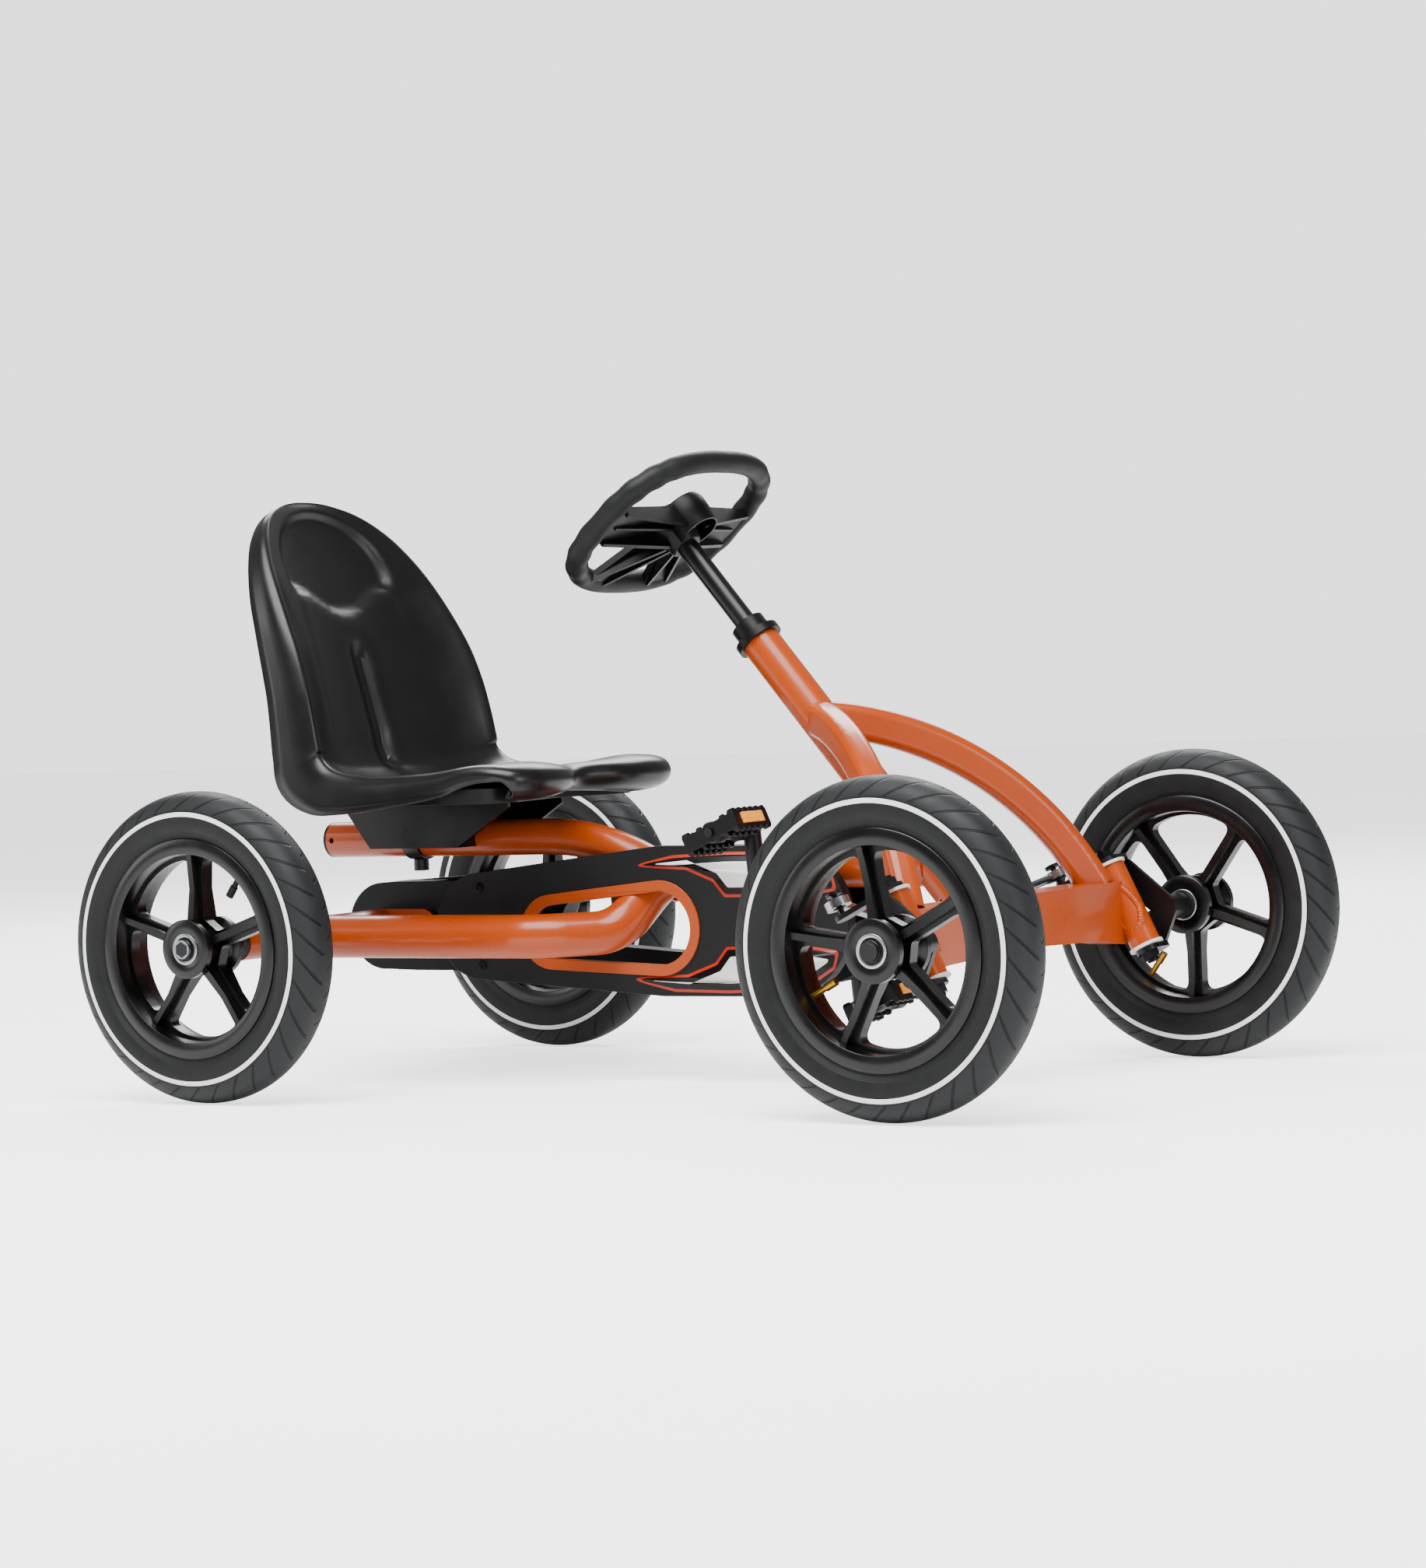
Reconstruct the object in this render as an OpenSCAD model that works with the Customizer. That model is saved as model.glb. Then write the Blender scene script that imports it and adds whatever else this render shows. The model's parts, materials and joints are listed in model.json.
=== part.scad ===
// Pedal go kart for children: +X forward, +Y to the rider's left, +Z up.
// The origin is on the ground, midway between the axles, in the middle plane.

/* [Overall] */
// Distance between the front and the rear axle
wheelbase = 814; // [720:1:950]
// Distance between the middle planes of a left and a right wheel
track = 611; // [570:1:720]

/* [Wheels] */
// Outer radius of the tyre
tyre_r = 159; // [150:1:175]
// Radius of the tyre's round section
tyre_section_r = 28; // [24:0.5:31]
// Thickness of the tyre's wall
tyre_wall = 5; // [3:0.5:8]
// Outer radius of the rim's flanges
rim_r = 112; // [104:1:116]
// Inner radius of the rim, where the spokes end
rim_inner_r = 96; // [88:1:98]
// Number of spokes in a wheel
spoke_count = 5; // [4:1:7]
// Width of a spoke, across the wheel
spoke_w = 15; // [12:1:20]
// Length of the hub along the axle
hub_len = 58; // [52:1:66]
// Radius of the hub's end flanges
hub_flange_r = 30; // [26:1:34]
// Radius of the hub between its flanges
hub_barrel_r = 21; // [20:1:24]
// Outer radius of a wheel bearing
bearing_r = 16; // [14:0.5:18]
// Width of a wheel bearing
bearing_w = 10; // [8:1:12]
// Radius of the axles
axle_r = 6; // [5:0.5:7]

/* [Frame tubes] */
// Radius of the lower main tube
main_r = 22.5; // [20:0.5:24]
// Radius of the seat tube
seat_tube_r = 19; // [16:0.5:20]
// Radius of the rear axle's housing tube
housing_r = 18.5; // [16:0.5:20]
// Wall of the frame's tubes
tube_wall = 2; // [1.5:0.5:3]
// Height of the seat tube's straight part above the ground
seat_tube_z = 252; // [245:1:265]
// Height of the main tube's front part above the ground
main_front_z = 219; // [216:1:222]
// Sideways distance of the main tube's rear part from the middle plane
main_side_y = 108; // [95:1:120]

/* [Front end] */
// Radius of the head tube
head_r = 20; // [18:0.5:22]
// Angle of the head tube above the ground
head_angle = 50; // [48:1:52]
// Radius of the steering column
column_r = 11; // [9:0.5:12.5]
// Radius of the arches' middle line
arch_r = 345; // [320:1:380]
// Height of an arch's section
arch_h = 36; // [30:1:40]
// Width of an arch's section
arch_w = 28; // [22:1:32]
// Height of the front beam at its ends
beam_h = 60; // [54:1:64]
// Depth of the front beam
beam_d = 42; // [36:1:46]
// Radius of the kingpin tubes
kingpin_tube_r = 16; // [14:0.5:18]
// Radius of the kingpin bolts
kingpin_r = 6; // [5:0.5:8]
// Half of the steering wheel's width, to the middle of the rim
wheel_half_w = 119; // [105:1:135]
// Half of the steering wheel's height, to the middle of the rim
wheel_half_h = 90; // [80:1:100]
// Radius of the steering wheel's rim
grip_r = 12; // [10:0.5:14]

/* [Drive] */
// Height of the crank axis above the ground
crank_z = 166; // [162:1:170]
// Distance of the crank axis in front of the middle
crank_x = 128; // [120:1:134]
// Length of the crank arms, between centres
crank_len = 95; // [85:1:100]
// Teeth on the chainring
ring_teeth = 30; // [26:1:32]
// Teeth on the rear sprocket
sprocket_teeth = 16; // [14:1:17]
// Pitch of the chain
chain_pitch = 12.7; // [12.7]
// Sideways distance of the chain from the middle plane
chain_y = 36; // [34:0.5:38]
// Length of a pedal along the kart
pedal_len = 72; // [64:1:76]
// Width of a pedal
pedal_w = 62; // [54:1:66]
// Thickness of a pedal
pedal_h = 24; // [20:1:28]

/* [Seat] */
// Width of the seat
seat_w = 330; // [300:1:350]
// Height of the seat's top above the ground
seat_top_z = 620; // [580:1:660]
// Height of the seat's underside above the ground
seat_base_z = 292; // [288:1:300]

/* [Hidden] */
$fn = 64;
ORANGE = "darkorange";
BLACK = "#202224";
STEEL = "silver";

// Clearances
run_gap = 0.05;   // radial, shaft in its bearing
free_gap = 0.3;   // between bodies that move past each other
cut = 1;          // how far a cutting shape runs past the surface that it cuts
lap = 0.05;       // how much a tube's bend is thicker than its straights, so that they join
lap_len = 1;      // how far a straight runs into a bend

// Axles
front_x = wheelbase / 2;
rear_x = -wheelbase / 2;
axle_z = tyre_r;
wheel_y = track / 2;
hub_face = hub_len / 2;

// ---- vectors -------------------------------------------------------------
function unit(v) = v / norm(v);

// Shape drawn along +Z, laid from a towards b
module along(a, b) {
    d = b - a;
    translate(a) rotate([0, acos(d.z / norm(d)), atan2(d.y, d.x)]) children();
}

module rod(a, b, r) {
    along(a, b) cylinder(h = norm(b - a), r = r);
}

module pipe(a, b, r, wall) {
    difference() {
        rod(a, b, r);
        rod(a - cut * unit(b - a), b + cut * unit(b - a), r - wall);
    }
}

// Round bar through points p, with each inner corner turned at radius bend_r
function corner_cut(p, i, bend_r) = (i == 0 || i == len(p) - 1) ? 0
    : bend_r * tan(acos(unit(p[i] - p[i - 1]) * unit(p[i + 1] - p[i])) / 2);

module swept(p, r, bend_r, wall = 0) {
    last = len(p) - 1;
    for (i = [0 : last - 1]) {
        u = unit(p[i + 1] - p[i]);
        a = p[i] + u * (corner_cut(p, i, bend_r) - (i > 0 ? lap_len : 0));
        b = p[i + 1] - u * (corner_cut(p, i + 1, bend_r) - (i < last - 1 ? lap_len : 0));
        if (wall > 0) pipe(a, b, r, wall);
        else rod(a, b, r);
    }
    for (i = [1 : last - 1]) {
        u = unit(p[i] - p[i - 1]);
        v = unit(p[i + 1] - p[i]);
        n = unit(cross(u, v));
        m = cross(n, u);
        o = p[i] - u * corner_cut(p, i, bend_r) + m * bend_r;
        multmatrix([[-m.x, u.x, n.x, o.x], [-m.y, u.y, n.y, o.y], [-m.z, u.z, n.z, o.z], [0, 0, 0, 1]])
            rotate_extrude(angle = acos(u * v)) translate([bend_r, 0]) difference() {
                circle(r + lap);
                if (wall > 0) circle(r - wall - lap);
            }
    }
}

// Rectangle with round corners, centred
module round_rect(w, h, r) {
    square([w - 2 * r, h], center = true);
    square([w, h - 2 * r], center = true);
    for (x = [-1, 1], y = [-1, 1]) translate([x * (w / 2 - r), y * (h / 2 - r)]) circle(r - lap);
}

// Flat bar with round ends, from the origin to point p in the XY plane
module slot_bar(p, w) {
    rotate(atan2(p.y, p.x)) translate([0, lap - w / 2]) square([norm(p), w - 2 * lap]);
    circle(w / 2);
    translate(p) circle(w / 2);
}

// ---- rear frame ----------------------------------------------------------
seat_tube_rear = rear_x - 67;
seat_tube_bend_r = 280;
seat_tube_path = [[seat_tube_rear, 0, seat_tube_z], [-115, 0, seat_tube_z],
    [-22, 0, main_front_z - 20]];
main_rear_z = axle_z - 4;
shield_y = -45;
main_front_x = crank_x + 34;
main_bend_r = 55;
// From the rear axle along the right side, inwards through the guard's window, then up
main_path = [[rear_x + housing_r / 2, -main_side_y, main_rear_z],
    [-130, -main_side_y, main_rear_z], [-74, shield_y, main_rear_z], [-38, 0, main_front_z],
    [main_front_x, 0, main_front_z]];

// Rear axle housing and its yoke round the chain wheel
case_right_y = -8;
case_left_y = chain_y + 12;
yoke_plate_t = 4;
yoke_gap = 2;
housing_right_in = case_right_y - yoke_gap - yoke_plate_t;
housing_left_in = case_left_y + yoke_gap + yoke_plate_t;
hub_gap = 24;
housing_out = wheel_y - hub_face - hub_gap;
yoke_bar_x = rear_x + 56;
yoke_bar_r = 9;

module housing(a, b) {
    pipe([rear_x, a, axle_z], [rear_x, b, axle_z], housing_r, tube_wall);
}

module axle_housings() {
    color(ORANGE) {
        housing(-housing_out, housing_right_in);
        housing(housing_left_in, housing_out);
    }
}

module main_tube() {
    color(ORANGE) difference() {
        swept(main_path, main_r, main_bend_r, tube_wall);
        rod([rear_x, -housing_out, axle_z], [rear_x, 0, axle_z], housing_r);
    }
}

// The seat tube lands on top of the main tube and is cut to its round
module seat_tube() {
    plug_hole_r = 3;
    color(ORANGE) difference() {
        swept(seat_tube_path, seat_tube_r, seat_tube_bend_r, tube_wall);
        swept(main_path, main_r, main_bend_r);
        rod([seat_tube_rear + 8, -seat_tube_r - cut, seat_tube_z],
            [seat_tube_rear + 8, seat_tube_r + cut, seat_tube_z], plug_hole_r);
    }
}

module seat_tube_plug() {
    plug_len = 4;
    color(BLACK) {
        rod([seat_tube_rear - 3, 0, seat_tube_z], [seat_tube_rear, 0, seat_tube_z], seat_tube_r);
        rod([seat_tube_rear, 0, seat_tube_z], [seat_tube_rear + plug_len, 0, seat_tube_z],
            seat_tube_r - tube_wall);
    }
}

// Two plates on the housings' inner ends, joined through the chain's loop by a bar
module yoke_plate(y) {
    translate([rear_x, y, axle_z]) rotate([90, 0, 0]) linear_extrude(yoke_plate_t)
        difference() {
            slot_bar([yoke_bar_x - rear_x, 0], 2 * housing_r);
            circle(axle_r + 2);
        }
}

module axle_yoke() {
    color(ORANGE) {
        yoke_plate(housing_right_in + yoke_plate_t);
        yoke_plate(housing_left_in);
        rod([yoke_bar_x, housing_right_in + yoke_plate_t, axle_z],
            [yoke_bar_x, housing_left_in - yoke_plate_t, axle_z], yoke_bar_r);
    }
}

shell_r = 19;
shell_right = -30;
shell_left = chain_y - 14;
crank_r = 8;
cup_len = 10;

module crank_shell() {
    web_t = 14;
    color(ORANGE) difference() {
        union() {
            rod([crank_x, shell_right, crank_z], [crank_x, shell_left, crank_z], shell_r);
            translate([crank_x - shell_r, -web_t / 2, crank_z])
                cube([2 * shell_r, web_t, main_front_z - crank_z]);
        }
        rod([crank_x, shell_right - cut, crank_z], [crank_x, shell_left + cut, crank_z],
            shell_r - 3);
        swept(main_path, main_r, main_bend_r);
    }
}

// Crank cups and the housings' end bearings: rings that fill the bore round the shaft
axle_end = wheel_y + hub_face + 5;

module ring_y(x, z, a, b, r_out, r_in) {
    difference() {
        rod([x, a, z], [x, b, z], r_out);
        rod([x, a - cut, z], [x, b + cut, z], r_in);
    }
}

module frame_bearings() {
    housing_in_r = housing_r - tube_wall;
    color(STEEL) {
        ring_y(crank_x, crank_z, shell_right, shell_right + cup_len, shell_r - 3, crank_r + run_gap);
        ring_y(crank_x, crank_z, shell_left - cup_len, shell_left, shell_r - 3, crank_r + run_gap);
        ring_y(rear_x, axle_z, -housing_out, bearing_w - housing_out, housing_in_r, axle_r + run_gap);
        ring_y(rear_x, axle_z, housing_out - bearing_w, housing_out, housing_in_r, axle_r + run_gap);
    }
}

// ---- swing joint between the rear frame and the front end ------------------
swing_gap = 8;
front_tube_x = main_front_x + swing_gap;
swing_pin_r = 8;
bush_wall = 1;

module swing_bush() {
    bush_len = 24;
    color(BLACK) difference() {
        union() {
            rod([main_front_x - bush_len, 0, main_front_z], [main_front_x, 0, main_front_z],
                main_r - tube_wall);
            rod([main_front_x, 0, main_front_z],
                [front_tube_x - free_gap, 0, main_front_z], main_r + bush_wall);
        }
        rod([main_front_x - 2 * bush_len, 0, main_front_z],
            [front_tube_x + cut, 0, main_front_z], swing_pin_r + run_gap);
    }
}

module swing_pin() {
    head_t = 6;
    pin_rear = main_front_x - 24 - free_gap;
    color(STEEL) {
        rod([pin_rear, 0, main_front_z], [front_tube_x + 40, 0, main_front_z], swing_pin_r);
        rod([pin_rear - head_t, 0, main_front_z], [pin_rear, 0, main_front_z],
            swing_pin_r + 5);
        translate([front_tube_x + 8, 0, main_front_z]) rotate([0, 90, 0])
            cylinder(h = 30, r = main_r - tube_wall);
    }
}

// ---- chain drive ----------------------------------------------------------
ring_pitch_r = chain_pitch / 2 / sin(180 / ring_teeth);
sprocket_pitch_r = chain_pitch / 2 / sin(180 / sprocket_teeth);
roller_r = 3.9;
plate_h = 9;
tooth_tip = 1.2;
crank_c = [crank_x, crank_z];
axle_c = [rear_x, axle_z];
centre_d = norm(crank_c - axle_c);
// Angle between the line of centres and the perpendicular to a chain run
wrap = acos((ring_pitch_r - sprocket_pitch_r) / centre_d);
line_a = atan2(crank_z - axle_z, crank_x - rear_x);

module at_xz(x, y, z) {
    translate([x, y, z]) rotate([90, 0, 0]) children();
}

// Toothed disc whose tips stay inside the chain's rollers
module toothed(teeth, pitch_r, bore_r) {
    tip_r = pitch_r - roller_r - free_gap;
    difference() {
        union() {
            circle(tip_r - tooth_tip);
            for (i = [0 : teeth - 1]) rotate(i * 360 / teeth)
                translate([0, -1.5]) square([tip_r, 3]);
        }
        circle(bore_r);
    }
}

// Band of half width h along the chain's path
module chain_band(h, r_ring, r_rear) {
    translate(crank_c) circle(r_ring + h);
    translate(axle_c) circle(r_rear + h);
    n = [for (s = [-1, 1]) [cos(line_a + s * wrap), sin(line_a + s * wrap)]];
    polygon([crank_c + n[0] * (r_ring + h - lap), crank_c + n[1] * (r_ring + h - lap),
        axle_c + n[1] * (r_rear + h - lap), axle_c + n[0] * (r_rear + h - lap)]);
}

module chain() {
    chain_w = 8;
    color(STEEL) at_xz(0, chain_y + chain_w / 2, 0) linear_extrude(chain_w) difference() {
        chain_band(plate_h / 2, ring_pitch_r, sprocket_pitch_r);
        chain_band(-roller_r, ring_pitch_r, sprocket_pitch_r);
    }
}

module chainring() {
    ring_t = 3;
    window_r = 11;
    color(STEEL) at_xz(crank_x, chain_y + ring_t / 2, crank_z) linear_extrude(ring_t)
        difference() {
            toothed(ring_teeth, ring_pitch_r, crank_r);
            for (i = [0 : 4]) rotate(i * 72) translate([ring_pitch_r / 2 + 3, 0]) circle(window_r);
        }
}

module drive_hub() {
    sprocket_t = 3;
    hub_r = 14;
    color(STEEL) {
        at_xz(rear_x, chain_y + sprocket_t / 2, axle_z) linear_extrude(sprocket_t)
            toothed(sprocket_teeth, sprocket_pitch_r, axle_r);
        ring_y(rear_x, axle_z, case_right_y + 6, chain_y - sprocket_t / 2, hub_r, axle_r);
    }
}

module rear_axle() {
    collar_r = 9;
    color(STEEL) {
        rod([rear_x, -axle_end, axle_z], [rear_x, axle_end, axle_z], axle_r);
        for (s = [-1, 1]) {
            rod([rear_x, s * (housing_out + free_gap), axle_z],
                [rear_x, s * (wheel_y - hub_face - free_gap), axle_z], collar_r);
            rod([rear_x, s * (wheel_y + hub_face + free_gap), axle_z],
                [rear_x, s * axle_end, axle_z], axle_r + 3.5);
        }
    }
}

arm_in = 62;
arm_out = 84;
arm_t = 12;

// Turns a shape about the crank's axis to where the crank stands at rest
crank_turn = 5;

module at_crank_turn() {
    translate([crank_x, 0, crank_z]) rotate([0, -crank_turn, 0])
        translate([-crank_x, 0, -crank_z]) children();
}

// One-piece crank: axle, two joggled arms and the pedal spindles
module crank_arm(side, dir) {
    a = [crank_x, side * arm_in, crank_z];
    k = a + [0, side * (arm_out - arm_in), dir * 46];
    e = [crank_x, side * arm_out, crank_z + dir * crank_len];
    rod(a, k, arm_t - 3);
    rod(k, e, arm_t - 3);
    for (p = [k, e]) translate(p) sphere(arm_t - 2);
    rod(e, e + [0, side * (pedal_w + 16), 0], 4.5);
}

module crank() {
    color(BLACK) {
        rod([crank_x, -arm_in, crank_z], [crank_x, arm_in, crank_z], crank_r);
        for (s = [-1, 1]) translate([crank_x, s * arm_in, crank_z]) sphere(arm_t - 1);
        at_crank_turn() {
            crank_arm(-1, 1);
            crank_arm(1, -1);
        }
    }
}

// ---- pedals ----------------------------------------------------------------
pedal_in = arm_out + arm_t + 2;
pedal_tilt = 24;

module at_pedal(side) {
    at_crank_turn()
        translate([crank_x, side * (pedal_in + pedal_w / 2), crank_z - side * crank_len])
        rotate([0, crank_turn - pedal_tilt, 0]) children();
}

module pedal(side) {
    rail = 9;
    core_r = 10;
    color(BLACK) at_pedal(side) difference() {
        union() {
            rotate([90, 0, 0]) cylinder(h = pedal_w, r = core_r, center = true);
            difference() {
                linear_extrude(pedal_h, center = true) round_rect(pedal_len, pedal_w, 8);
                for (s = [-1, 1]) translate([s * pedal_len / 4, 0, 0])
                    cube([pedal_len / 2 - 1.6 * rail, pedal_w - 2 * rail, pedal_h + cut],
                        center = true);
            }
            cube([pedal_len - rail, rail / 2, pedal_h * 0.7], center = true);
        }
        rotate([90, 0, 0]) cylinder(h = pedal_w + 2 * cut, r = 4.5 + run_gap, center = true);
        for (s = [-1, 1]) translate([s * (pedal_len / 2), 0, 0])
            cube([6, pedal_w * 0.6, pedal_h * 0.5], center = true);
    }
}

module reflectors(side) {
    color("orange") at_pedal(side) for (s = [-1, 1])
        translate([s * (pedal_len / 2 - 1.5), 0, 0])
            cube([3, pedal_w * 0.6, pedal_h * 0.5], center = true);
}

module pedal_left() { pedal(1); }
module pedal_right() { pedal(-1); }
module reflectors_left() { reflectors(1); }
module reflectors_right() { reflectors(-1); }

// ---- chain guard -----------------------------------------------------------
shield_depth = 14;
case_wall = 2.5;
shield_r = ring_pitch_r + 15;
shield_mid = [-20, crank_z];
shield_rear = [-251, crank_z - 5];
shield_rear_r = 56;
window_front = [-22, crank_z - 7];
window_front_r = 42;
window_rear = [-158, crank_z - 11];
window_rear_r = 32;

// Smooth outline round two circles
module two_round(c1, r1, c2, r2) {
    d = norm(c1 - c2);
    w = acos((r1 - r2) / d);
    la = atan2(c1.y - c2.y, c1.x - c2.x);
    translate(c1) circle(r1);
    translate(c2) circle(r2);
    n = [for (s = [-1, 1]) [cos(la + s * w), sin(la + s * w)]];
    polygon([c1 + n[0] * (r1 - lap), c1 + n[1] * (r1 - lap), c2 + n[1] * (r2 - lap),
        c2 + n[0] * (r2 - lap)]);
}

module shield_outline(grow = 0) {
    two_round(crank_c, shield_r + grow, shield_mid, shield_r + 1 + grow);
    two_round(shield_mid, shield_r + 1 + grow, shield_rear, shield_rear_r + grow);
}

module window_outline(grow = 0) {
    two_round(window_front, window_front_r + grow, window_rear, window_rear_r + grow);
}

post_x = -292;

module guard_shield() {
    boss_hole_r = crank_r + 6;
    color(BLACK) difference() {
        at_xz(0, shield_y + shield_depth, 0) linear_extrude(shield_depth) shield_outline();
        at_xz(0, shield_y + shield_depth + cut, 0) linear_extrude(shield_depth + cut - case_wall)
            shield_outline(-case_wall);
        at_xz(0, shield_y + shield_depth + cut, 0) linear_extrude(shield_depth + 2 * cut)
            window_outline();
        at_xz(crank_x, shield_y + shield_depth + cut, crank_z)
            cylinder(h = shield_depth + 2 * cut, r = boss_hole_r);
    }
    // Seats on the crank shell and on the chain case's rear box
    color(BLACK) {
        ring_y(crank_x, crank_z, shield_y + case_wall, shell_right, shell_r, boss_hole_r);
        rod([post_x, shield_y + case_wall, crank_z - 5], [post_x, case_right_y, crank_z - 5], 6);
    }
}

// Orange rim inside the window
module guard_liner() {
    liner_t = 4;
    liner_depth = 9;
    color(ORANGE) difference() {
        at_xz(0, shield_y + liner_depth - 2, 0) linear_extrude(liner_depth) difference() {
            window_outline();
            window_outline(-liner_t);
        }
        // Notch round the main tube where it passes through the window
        swept(main_path, main_r + free_gap, main_bend_r);
    }
}

// Chain case: two half shells round the chain, parted in the chain's plane
case_in = 6;
case_right_front = chain_y - 12;
rear_box_r = sprocket_pitch_r + case_in + 8;
box_front = yoke_bar_x + 72;

module case_outline(grow = 0) {
    difference() {
        two_round(crank_c, ring_pitch_r + case_in + case_wall + grow, axle_c, rear_box_r + grow);
        two_round([-10, crank_z], ring_pitch_r - case_in - case_wall - 12 - grow,
            [-170, crank_z - 4], sprocket_pitch_r - case_in - case_wall - grow);
    }
}

module case_half(y_face, y_part) {
    depth = abs(y_part - y_face);
    lo = min(y_face, y_part);
    wall_shift = y_face < y_part ? case_wall : -case_wall;
    difference() {
        at_xz(0, lo + depth, 0) linear_extrude(depth) case_outline();
        translate([0, wall_shift, 0]) at_xz(0, lo + depth, 0) linear_extrude(depth)
            case_outline(-case_wall);
        rod([crank_x, -wheel_y, crank_z], [crank_x, wheel_y, crank_z], crank_r + 4);
        rod([rear_x, -wheel_y, axle_z], [rear_x, wheel_y, axle_z], axle_r + 3);
        rod([yoke_bar_x, -wheel_y, axle_z], [yoke_bar_x, wheel_y, axle_z], yoke_bar_r + 0.5);
    }
}

module rear_box(y_in) {
    clip = [box_front - rear_x + rear_box_r, 2 * (rear_box_r + cut)];
    intersection() {
        at_xz(0, y_in, 0) linear_extrude(y_in - case_right_y) case_outline();
        translate([rear_x - rear_box_r, case_right_y, axle_z - clip.y / 2])
            cube([clip.x, y_in - case_right_y, clip.y]);
    }
}

module chain_case_right() {
    part_gap = free_gap / 2;
    color(BLACK) {
        difference() {
            case_half(case_right_front, chain_y - part_gap);
            translate([rear_x - rear_box_r - cut, case_right_front - cut, 0])
                cube([box_front - case_wall - rear_x + rear_box_r + cut, case_wall + 2 * cut,
                    main_front_z * 2]);
        }
        difference() {
            rear_box(case_right_front);
            translate([0, case_wall, 0]) at_xz(0, case_right_front, 0)
                linear_extrude(case_right_front - case_right_y) difference() {
                    case_outline(-case_wall);
                    translate([box_front - case_wall, 0]) square([wheelbase, main_front_z * 2]);
                }
            rod([rear_x, -wheel_y, axle_z], [rear_x, wheel_y, axle_z], axle_r + 3);
            rod([yoke_bar_x, -wheel_y, axle_z], [yoke_bar_x, wheel_y, axle_z], yoke_bar_r + 0.5);
        }
    }
}

module chain_case_left() {
    color(BLACK) case_half(case_left_y, chain_y + free_gap / 2);
}

screw_places = [[crank_x + 10, crank_z + 62], [crank_x + 10, crank_z - 62],
    [-250, crank_z + 36], [-250, crank_z - 46]];

module guard_screws() {
    color(STEEL) for (p = screw_places) at_xz(p.x, shield_y, p.y) cylinder(h = 2, r = 5);
}

// ---- seat ------------------------------------------------------------------
seat_rear_x = -405;
seat_front_x = -118;
seat_half = seat_w / 2;
seat_t = 16;
seat_back_h = seat_top_z - seat_base_z;
// The back's rear line: how far behind the pan's rear edge at a share of the height
back_line = [[0, 0], [-17, 0.2], [-42, 0.6], [-82, 0.86], [-95, 1]];
// Half width of the back at a share of the height
back_half = [[0, 0], [1, 0.3], [16, 0.62], [50, 0.86], [104, 0.975]];
back_pts = [for (b = back_line) [seat_rear_x + b.x, seat_base_z + b.y * seat_back_h]];
back_edge = [for (b = back_half) [seat_half - b.x, seat_base_z + b.y * seat_back_h]];

// Points of a list in reverse, each moved by m
function reversed(p, m = [0, 0]) = [for (i = [len(p) - 1 : -1 : 0]) p[i] + m];

module seat_back() {
    top_r = 61;
    intersection() {
        at_xz(0, seat_half, 0) linear_extrude(seat_w)
            polygon(concat(back_pts, reversed(back_pts, [seat_t, 0])));
        translate([seat_rear_x - seat_w / 2, 0, 0]) rotate([90, 0, 90]) linear_extrude(seat_w) {
            polygon(concat(back_edge, [for (q = reversed(back_edge)) [-q.x, q.y]]));
            translate([0, seat_top_z - top_r]) circle(top_r);
        }
    }
}

module seat_pan() {
    lobe_r = 46;
    lobe_y = seat_half - 58;
    translate([0, 0, seat_base_z]) linear_extrude(seat_t + 2) {
        polygon([[seat_rear_x, -seat_half], [seat_front_x - 120, -seat_half],
            [seat_front_x - 50, -seat_half + 12], [seat_front_x - 24, 0],
            [seat_front_x - 50, seat_half - 12], [seat_front_x - 120, seat_half],
            [seat_rear_x, seat_half]]);
        for (s = [-1, 1]) translate([seat_front_x - lobe_r, s * lobe_y]) circle(lobe_r);
    }
}

// Side wing between the back and the pan
module seat_wing(s) {
    wing_t = 14;
    y = seat_half - 2;
    wing_pts = [[1.5, 0.05], [95, 0.05], [62, 0.14], [30, 0.34], [4, 0.6], [-20, 0.6], [-4, 0.2]];
    at_xz(0, s > 0 ? y : wing_t - y, 0) linear_extrude(wing_t)
        polygon([for (w = wing_pts)
            [seat_rear_x + w.x, seat_base_z + w.y * seat_back_h]]);
}

module seat_shell() {
    color(BLACK) difference() {
        union() {
            seat_pan();
            seat_back();
            for (s = [-1, 1]) seat_wing(s);
        }
        // Slot in the back's middle
        slot_z = seat_base_z + 0.17 * seat_back_h;
        slot_r = 7;
        for (z = [slot_z, slot_z + 0.28 * seat_back_h]) translate([seat_rear_x - seat_w / 2, 0, z])
            rotate([0, 90, 0]) cylinder(h = seat_w, r = slot_r);
        translate([seat_rear_x - seat_w / 2, -slot_r, slot_z])
            cube([seat_w, 2 * slot_r, 0.28 * seat_back_h]);
    }
}

bracket_z = seat_tube_z - 8;
bracket_y = 48;
bracket_t = 5;

module seat_bracket() {
    top_z = seat_base_z - free_gap;
    cheek = [[-388, bracket_z], [-272, bracket_z], [-204, top_z - 6], [-204, top_z], [-420, top_z],
        [-420, top_z - 6]];
    color(BLACK) {
        for (s = [-1, 1]) at_xz(0, s * bracket_y + bracket_t / 2, 0) linear_extrude(bracket_t)
            polygon(cheek);
        for (x = [-378, -292]) translate([x, 0, 0]) saddle(top_z);
    }
}

// Cross block of the bracket, cut to sit on the seat tube
module saddle(top_z) {
    saddle_l = 20;
    difference() {
        translate([0, -bracket_y + bracket_t / 2, bracket_z])
            cube([saddle_l, 2 * bracket_y - bracket_t, top_z - bracket_z]);
        rod([-cut, 0, seat_tube_z], [saddle_l + cut, 0, seat_tube_z], seat_tube_r + run_gap);
    }
}

clamp_x = rear_x + 48;

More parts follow.
